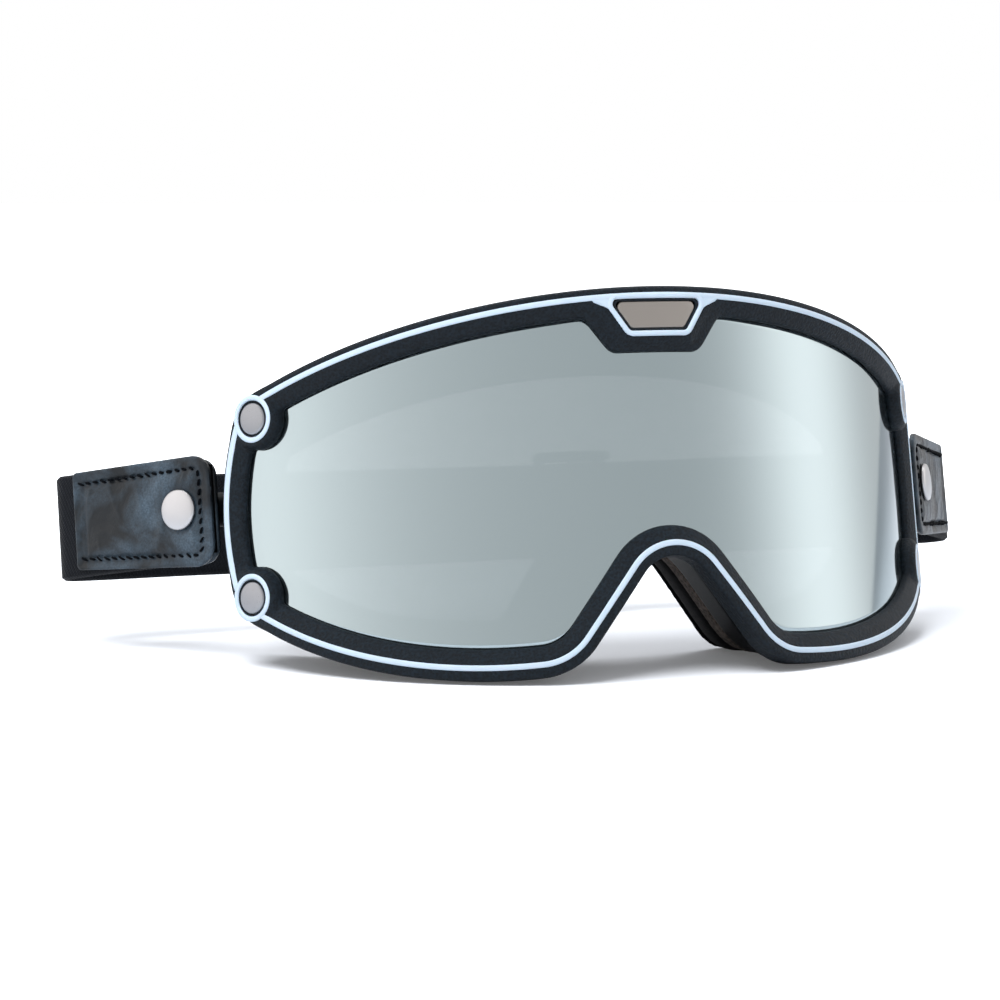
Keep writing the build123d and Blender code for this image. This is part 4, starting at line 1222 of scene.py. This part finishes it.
def build_tab(side_name):
    """One tab: its outer and inner leathers, the stitching, and the snap's domed cap."""
    m = materials()
    outer = leather_sheet("tab_leather_" + side_name, "leather_patch_" + side_name, side_name,
                          0.0, 0.0, 0.35 * MM)
    leather_sheet("tab_backing_" + side_name, "leather_backing_" + side_name, side_name,
                  -LEATHER - TONGUE, 0.6 * MM, 0.0)
    build_stitches(side_name)
    dome = [(r * MM, (0.95 + 0.75 * math.sqrt(1 - (r / 4.9)**2)) * MM)
            for r in (0.01, 0.8, 1.6, 2.4, 3.1, 3.7, 4.1, 4.4, 4.6)]
    skirt = [(4.76 * MM, 1.0 * MM), (4.84 * MM, 0.8 * MM), (4.85 * MM, 0.55 * MM),
             (4.7 * MM, 0.3 * MM), (4.4 * MM, 0.05 * MM)]
    turned_on_tab("snap_dome_" + side_name, "snap_cap_" + side_name, dome + skirt, side_name,
                  m["snap"])
    dress("satin_metal", m["steel"], "snap_socket_" + side_name, "snap_stud_" + side_name)
    dress("frame_rubber", m["shell"], "side_tongue_" + side_name, "tongue_mount_" + side_name)


# --- the elastic strap and its slider ---------------------------------------------------------
WEB_WALL, WEB_LOW = 1.6 * MM, -10.5 * MM
WEB_START, WEB_TURN, TURN = 16.2 * MM, 45.6 * MM, 4.0 * MM
SLIDER_X, SLIDER_LENGTH, TAIL = 16.0 * MM, 20.0 * MM, 48.0 * MM


def strap_line():
    """The webbing's middle line in plan: out along the tab, round the turn, and across."""
    u = np.array([math.cos(SPLAY), math.sin(SPLAY)])
    n = np.array([math.sin(SPLAY), -math.cos(SPLAY)])
    level = TAB_START - n * (LEATHER + WEB_WALL / 2)
    start, turn = level + u * WEB_START, level + u * WEB_TURN
    centre = turn - n * TURN
    bend = arc(centre, TURN, SPLAY - math.pi / 2, math.pi / 2, 26)
    straight = start + (turn - start) * np.linspace(0, 1, 26)[:, None]
    across = np.stack([np.linspace(bend[-1, 0], 0, 90), np.full(90, bend[-1, 1])], 1)
    half = np.concatenate([straight, bend[1:], across[1:]])
    return np.concatenate([half, half[:-1][::-1] * (-1.0, 1.0)])


def band(name, node, line, body, bow):
    """Webbing swept along a line in plan: flat faces, rounded edges, a slightly uneven run.
    UVs are metres along the band and round its section."""
    d = np.gradient(line, axis=0)
    n = np.stack([d[:, 1], -d[:, 0]], 1)
    n /= np.linalg.norm(n, axis=1)[:, None]
    width = sizes().web_width
    section = rounded_section(width, WEB_WALL, 0.75 * MM, 0.0) * (width, 1.0)
    run = np.concatenate([[0], np.cumsum(np.linalg.norm(np.diff(line, axis=0), axis=1))])
    wave = bow * np.sin(run / (33 * MM)) + 0.12 * MM * np.sin(run / (7 * MM) + 1)
    out = section[None, :, 1] - WEB_WALL / 2
    z = WEB_LOW + section[None, :, 0] + wave[:, None] * (section[None, :, 0] / width - 0.5)
    x = line[:, 0:1] + n[:, 0:1] * out
    y = line[:, 1:2] + n[:, 1:2] * out
    points = np.stack([x, y, z + 0 * x], -1)
    loop = np.concatenate([section, section[:1]])
    around = np.concatenate([[0], np.cumsum(np.linalg.norm(np.diff(loop, axis=0), axis=1))])
    v, u = around, run
    piece = capped_tube(name, points, body, materials()["webbing"],
                        grid_uv(v, u)[:, ::-1])
    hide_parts(node)
    return piece


def rounded_box(centre, half, radius):
    """A box with rounded edges, as a grid of longitudes and latitudes pushed to its faces."""
    v = np.linspace(-math.pi / 2, math.pi / 2, 22)[:, None]
    u = np.linspace(0, 2 * math.pi, 44, endpoint=False)[None, :]
    way = np.stack([np.cos(v) * np.cos(u), np.cos(v) * np.sin(u), np.sin(v) + 0 * u], -1)
    power = np.sign(way) * np.abs(way)**0.35
    unit = power / np.abs(power).max(-1, keepdims=True)
    core = np.array(half) - radius
    grown = unit * core
    ball = way + unit * 0.3
    ball /= np.linalg.norm(ball, axis=-1, keepdims=True)
    return np.array(centre) + grown + ball * radius


def build_strap():
    """The elastic band between the tabs."""
    band("strap_webbing", "elastic_strap", strap_line(), "strap", 0.5 * MM)


def build_slider():
    """The slider's two rails and two cross bars, and the strap's loose tail behind it."""
    m = materials()
    line = strap_line()
    y = line[len(line) // 2, 1]
    gap, wall, rail, bar = 0.35 * MM, 1.8 * MM, 2.6 * MM, 3.4 * MM
    width = sizes().web_width
    middle_z = WEB_LOW + width / 2
    deep = 2 * WEB_WALL + 3 * gap + wall
    y_mid = y + WEB_WALL / 2 + gap / 2
    boxes = []
    for k in (1, -1):
        z = middle_z + k * (width / 2 + gap + rail / 2)
        half = (SLIDER_LENGTH / 2, deep / 2, rail / 2)
        boxes.append(rounded_box((SLIDER_X, y_mid, z), half, 0.8 * MM))
        x = SLIDER_X + k * (SLIDER_LENGTH - bar) / 2
        boxes.append(rounded_box((x, y_mid + (deep - wall) / 2, middle_z),
                                 (bar / 2, wall / 2, width / 2 + gap + rail * 0.6), 0.6 * MM))
    made = [capped_tube(f"slider_part_{k + 1}", points, "slider", m["slider"])
            for k, points in enumerate(boxes)]
    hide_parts("slider_frame")
    dress("slider_plastic", m["slider"], "slider_bar")
    bar_y = y + WEB_WALL / 2 + gap + WEB_WALL / 2
    x = np.linspace(SLIDER_X + WEB_WALL / 2, SLIDER_X + WEB_WALL / 2 + TAIL, 60)
    band("strap_tail_band", "strap_tail", np.stack([x, np.full(60, bar_y)], 1)[::-1], "slider",
         0.2 * MM)


# --- the stage ---------------------------------------------------------------------------
def horizon_glow(tree, way, azimuth, tightness, soft):
    """1 towards an azimuth, falling off round it: exp(-k (1 - cos)) for a softbox's clean
    edge, or 1 / (1 + k (1 - cos)) for a window's long fade."""
    towards = (math.cos(math.radians(azimuth)), math.sin(math.radians(azimuth)), 0.0)
    cosine = add(tree, "VectorMath", {0: way, 1: towards}, operation="DOT_PRODUCT")
    off = add(tree, "Math", {0: 1.0, 1: cosine.outputs["Value"]}, operation="SUBTRACT")
    scaled = add(tree, "Math", {0: off.outputs[0], 1: tightness}, operation="MULTIPLY")
    if soft:
        over = add(tree, "Math", {0: scaled.outputs[0], 1: 1.0}, operation="ADD")
        return add(tree, "Math", {0: 1.0, 1: over.outputs[0]}, operation="DIVIDE").outputs[0]
    minus = add(tree, "Math", {0: scaled.outputs[0], 1: -1.0}, operation="MULTIPLY")
    return add(tree, "Math", {0: minus.outputs[0]}, operation="EXPONENT").outputs[0]


def make_world():
    """White for the eye, softer for the light that falls on things.  Reflections see a white
    studio with a softbox off the goggles' left end and a window off their right end."""
    world = bpy.data.worlds.new("studio")
    world.use_nodes = True
    tree = world.node_tree
    tree.nodes.clear()
    at = add(tree, "TexCoord")
    path = add(tree, "LightPath")
    level = add(tree, "VectorMath", {0: at.outputs["Generated"], 1: (1.0, 1.0, 0.0)},
                operation="MULTIPLY")
    way = add(tree, "VectorMath", {0: level.outputs[0]}, operation="NORMALIZE").outputs[0]
    softbox = add(tree, "Math", {0: horizon_glow(tree, way, -12.0, 11.4, False), 1: 1.5},
                  operation="MULTIPLY")
    window = add(tree, "Math", {0: horizon_glow(tree, way, 170.0, 5.0, True), 1: 1.4},
                 operation="MULTIPLY")
    both = add(tree, "Math", {0: softbox.outputs[0], 1: window.outputs[0]}, operation="ADD")
    glossy = add(tree, "Math", {0: both.outputs[0], 1: path.outputs["Is Glossy Ray"]},
                 operation="MULTIPLY")
    eye = add(tree, "Math", {0: path.outputs["Is Camera Ray"], 1: 0.25, 2: 0.75},
              operation="MULTIPLY_ADD")
    strength = add(tree, "Math", {0: path.outputs["Is Glossy Ray"], 1: 0.1,
                                            2: eye.outputs[0]}, operation="MULTIPLY_ADD")
    sky = add(tree, "Background", {"Color": (1.0, 1.0, 1.0, 1.0),
                                             "Strength": strength.outputs[0]})
    glow = add(tree, "Background", {"Color": rgba(linear("#fff8f4")),
                                              "Strength": glossy.outputs[0]})
    total = add(tree, "AddShader", {0: sky.outputs[0], 1: glow.outputs[0]})
    add(tree, "OutputWorld", {"Surface": total.outputs[0]})
    bpy.context.scene.world = world


def make_floor():
    """A seamless white sweep: lit like paper near the goggles, so that they keep their
    contact shadow, and plain white to the eye from there to the horizon."""
    reach = 30.0
    mesh = bpy.data.meshes.new("floor")
    mesh.from_pydata([(-reach, -reach, 0), (reach, -reach, 0), (reach, reach, 0),
                      (-reach, reach, 0)], [], [(0, 1, 2, 3)])
    material, tree, at = new_material("paper_sweep")
    path = add(tree, "LightPath")
    away = add(tree, "VectorMath", {0: at.outputs["Object"]}, operation="LENGTH")
    far = add(tree, "MapRange", {"Value": away.outputs["Value"], "From Min": 0.16,
                                           "From Max": 0.42, "To Min": 0.1, "To Max": 1.1},
              interpolation_type="SMOOTHSTEP")
    glow = add(tree, "Math", {0: path.outputs["Is Camera Ray"], 1: far.outputs[0]},
               operation="MULTIPLY")
    paper = add(tree, "BsdfPrincipled", {
        "Base Color": rgba(linear("#e4e8ef")), "Roughness": 0.9, "Specular IOR Level": 0.1,
        "Emission Color": (1.0, 1.0, 1.0, 1.0), "Emission Strength": glow.outputs[0]})
    output(tree, paper.outputs[0])
    mesh.materials.append(material)
    floor = bpy.data.objects.new("floor", mesh)
    bpy.context.scene.collection.objects.link(floor)


def area_light(name, place, target, size, power, glossy):
    light = bpy.data.lights.new(name, "AREA")
    light.shape, light.size, light.energy = "DISK", size, power
    made = bpy.data.objects.new(name, light)
    made.location = place
    made.rotation_euler = (Vector(target) - Vector(place)).to_track_quat("-Z", "Y").to_euler()
    made.visible_glossy = glossy
    made.visible_camera = False
    bpy.context.scene.collection.objects.link(made)


def make_camera():
    """A 107 mm lens about 0.7 m away, to the goggles' right and a little above."""
    camera = bpy.data.objects.new("camera", bpy.data.cameras.new("camera"))
    a, e, away = math.radians(-22.507), math.radians(5.23), 0.7
    middle = SHIFT + np.array([0.0, 25.0, 0.0]) * MM
    place = middle + away * np.array([math.sin(a) * math.cos(e), -math.cos(a) * math.cos(e),
                                      math.sin(e)])
    aim = middle - 30.276 * MM * np.array([math.cos(a), math.sin(a), 0.0]) - (0, 0, 8.322 * MM)
    camera.location = place
    camera.rotation_euler = Vector(aim - place).to_track_quat("-Z", "Y").to_euler()
    camera.data.lens, camera.data.sensor_width = 106.7, 36.0
    bpy.context.scene.collection.objects.link(camera)
    bpy.context.scene.camera = camera


def build_stage():
    make_world()
    make_floor()
    make_camera()
    area_light("overhead", (-0.45, -0.3, 1.0), (0, 0, 0.03), 0.7, 15.0, False)
    area_light("top_sheen", (0.1, 0.35, 0.9), (0, 0, 0.04), 0.5, 4.0, True)
    scene = bpy.context.scene
    scene.view_settings.view_transform = "Standard"
    scene.render.resolution_x = scene.render.resolution_y = 1000


# --- add-on ---------------------------------------------------------------------------------
class GOGGLES_OT_frame(bpy.types.Operator):
    """Frame moulding with its lip, side wall and pockets"""
    bl_idname, bl_label = "goggles.frame", "Frame"

    def execute(self, context):
        build_frame()
        return {"FINISHED"}


class GOGGLES_OT_piping(bpy.types.Operator):
    """Pale piping, the rings round the rivets and the badge's surround"""
    bl_idname, bl_label = "goggles.piping", "Piping"

    def execute(self, context):
        build_piping()
        return {"FINISHED"}


class GOGGLES_OT_rivets(bpy.types.Operator):
    """The four rivet caps"""
    bl_idname, bl_label = "goggles.rivets", "Rivets"

    def execute(self, context):
        build_rivets()
        return {"FINISHED"}


class GOGGLES_OT_badge(bpy.types.Operator):
    """The blank badge plate"""
    bl_idname, bl_label = "goggles.badge", "Badge"

    def execute(self, context):
        build_badge()
        return {"FINISHED"}


class GOGGLES_OT_lens(bpy.types.Operator):
    """The mirrored lens"""
    bl_idname, bl_label = "goggles.lens", "Lens"

    def execute(self, context):
        build_lens()
        return {"FINISHED"}


class GOGGLES_OT_shell(bpy.types.Operator):
    """The face shell behind the frame"""
    bl_idname, bl_label = "goggles.shell", "Face shell"

    def execute(self, context):
        build_shell()
        return {"FINISHED"}


class GOGGLES_OT_pad(bpy.types.Operator):
    """Vent strip, foam and fleece"""
    bl_idname, bl_label = "goggles.pad", "Face pad"

    def execute(self, context):
        build_pad()
        return {"FINISHED"}


class GOGGLES_OT_tabs(bpy.types.Operator):
    """The leather tabs with their stitching and snaps"""
    bl_idname, bl_label = "goggles.tabs", "Tabs"

    def execute(self, context):
        for side_name in SIDES:
            build_tab(side_name)
        return {"FINISHED"}


class GOGGLES_OT_strap(bpy.types.Operator):
    """The elastic strap"""
    bl_idname, bl_label = "goggles.strap", "Strap"

    def execute(self, context):
        build_strap()
        return {"FINISHED"}


class GOGGLES_OT_slider(bpy.types.Operator):
    """The slider and the strap's loose tail"""
    bl_idname, bl_label = "goggles.slider", "Slider"

    def execute(self, context):
        build_slider()
        return {"FINISHED"}


class GOGGLES_OT_stage(bpy.types.Operator):
    """Floor, lights, studio world and camera"""
    bl_idname, bl_label = "goggles.stage", "Stage"

    def execute(self, context):
        build_stage()
        return {"FINISHED"}


OPERATORS = (GOGGLES_OT_frame, GOGGLES_OT_piping, GOGGLES_OT_rivets, GOGGLES_OT_badge,
             GOGGLES_OT_lens, GOGGLES_OT_shell, GOGGLES_OT_pad, GOGGLES_OT_tabs,
             GOGGLES_OT_strap, GOGGLES_OT_slider, GOGGLES_OT_stage)


class GOGGLES_PT_panel(bpy.types.Panel):
    """Sizes, colours and pieces of the goggles"""
    bl_idname, bl_label = "GOGGLES_PT_panel", "Motorcycle goggles"
    bl_space_type, bl_region_type, bl_category = "VIEW_3D", "UI", "Goggles"

    def draw(self, context):
        for group in (context.scene.goggle_sizes, context.scene.goggle_colours):
            box = self.layout.box()
            for key in group.bl_rna.properties.keys():
                if key not in ("rna_type", "name"):
                    box.prop(group, key)
        for operator in OPERATORS:
            self.layout.operator(operator.bl_idname)


CLASSES = (GoggleSizes, GoggleColours) + OPERATORS + (GOGGLES_PT_panel,)


def register():
    for made in CLASSES:
        bpy.utils.register_class(made)
    bpy.types.Scene.goggle_sizes = PointerProperty(type=GoggleSizes)
    bpy.types.Scene.goggle_colours = PointerProperty(type=GoggleColours)


def unregister():
    del bpy.types.Scene.goggle_sizes, bpy.types.Scene.goggle_colours
    for made in reversed(CLASSES):
        bpy.utils.unregister_class(made)


def main():
    register()
    for operator in OPERATORS:
        group, name = operator.bl_idname.split(".")
        getattr(getattr(bpy.ops, group), name)()


if __name__ == "__main__":
    main()
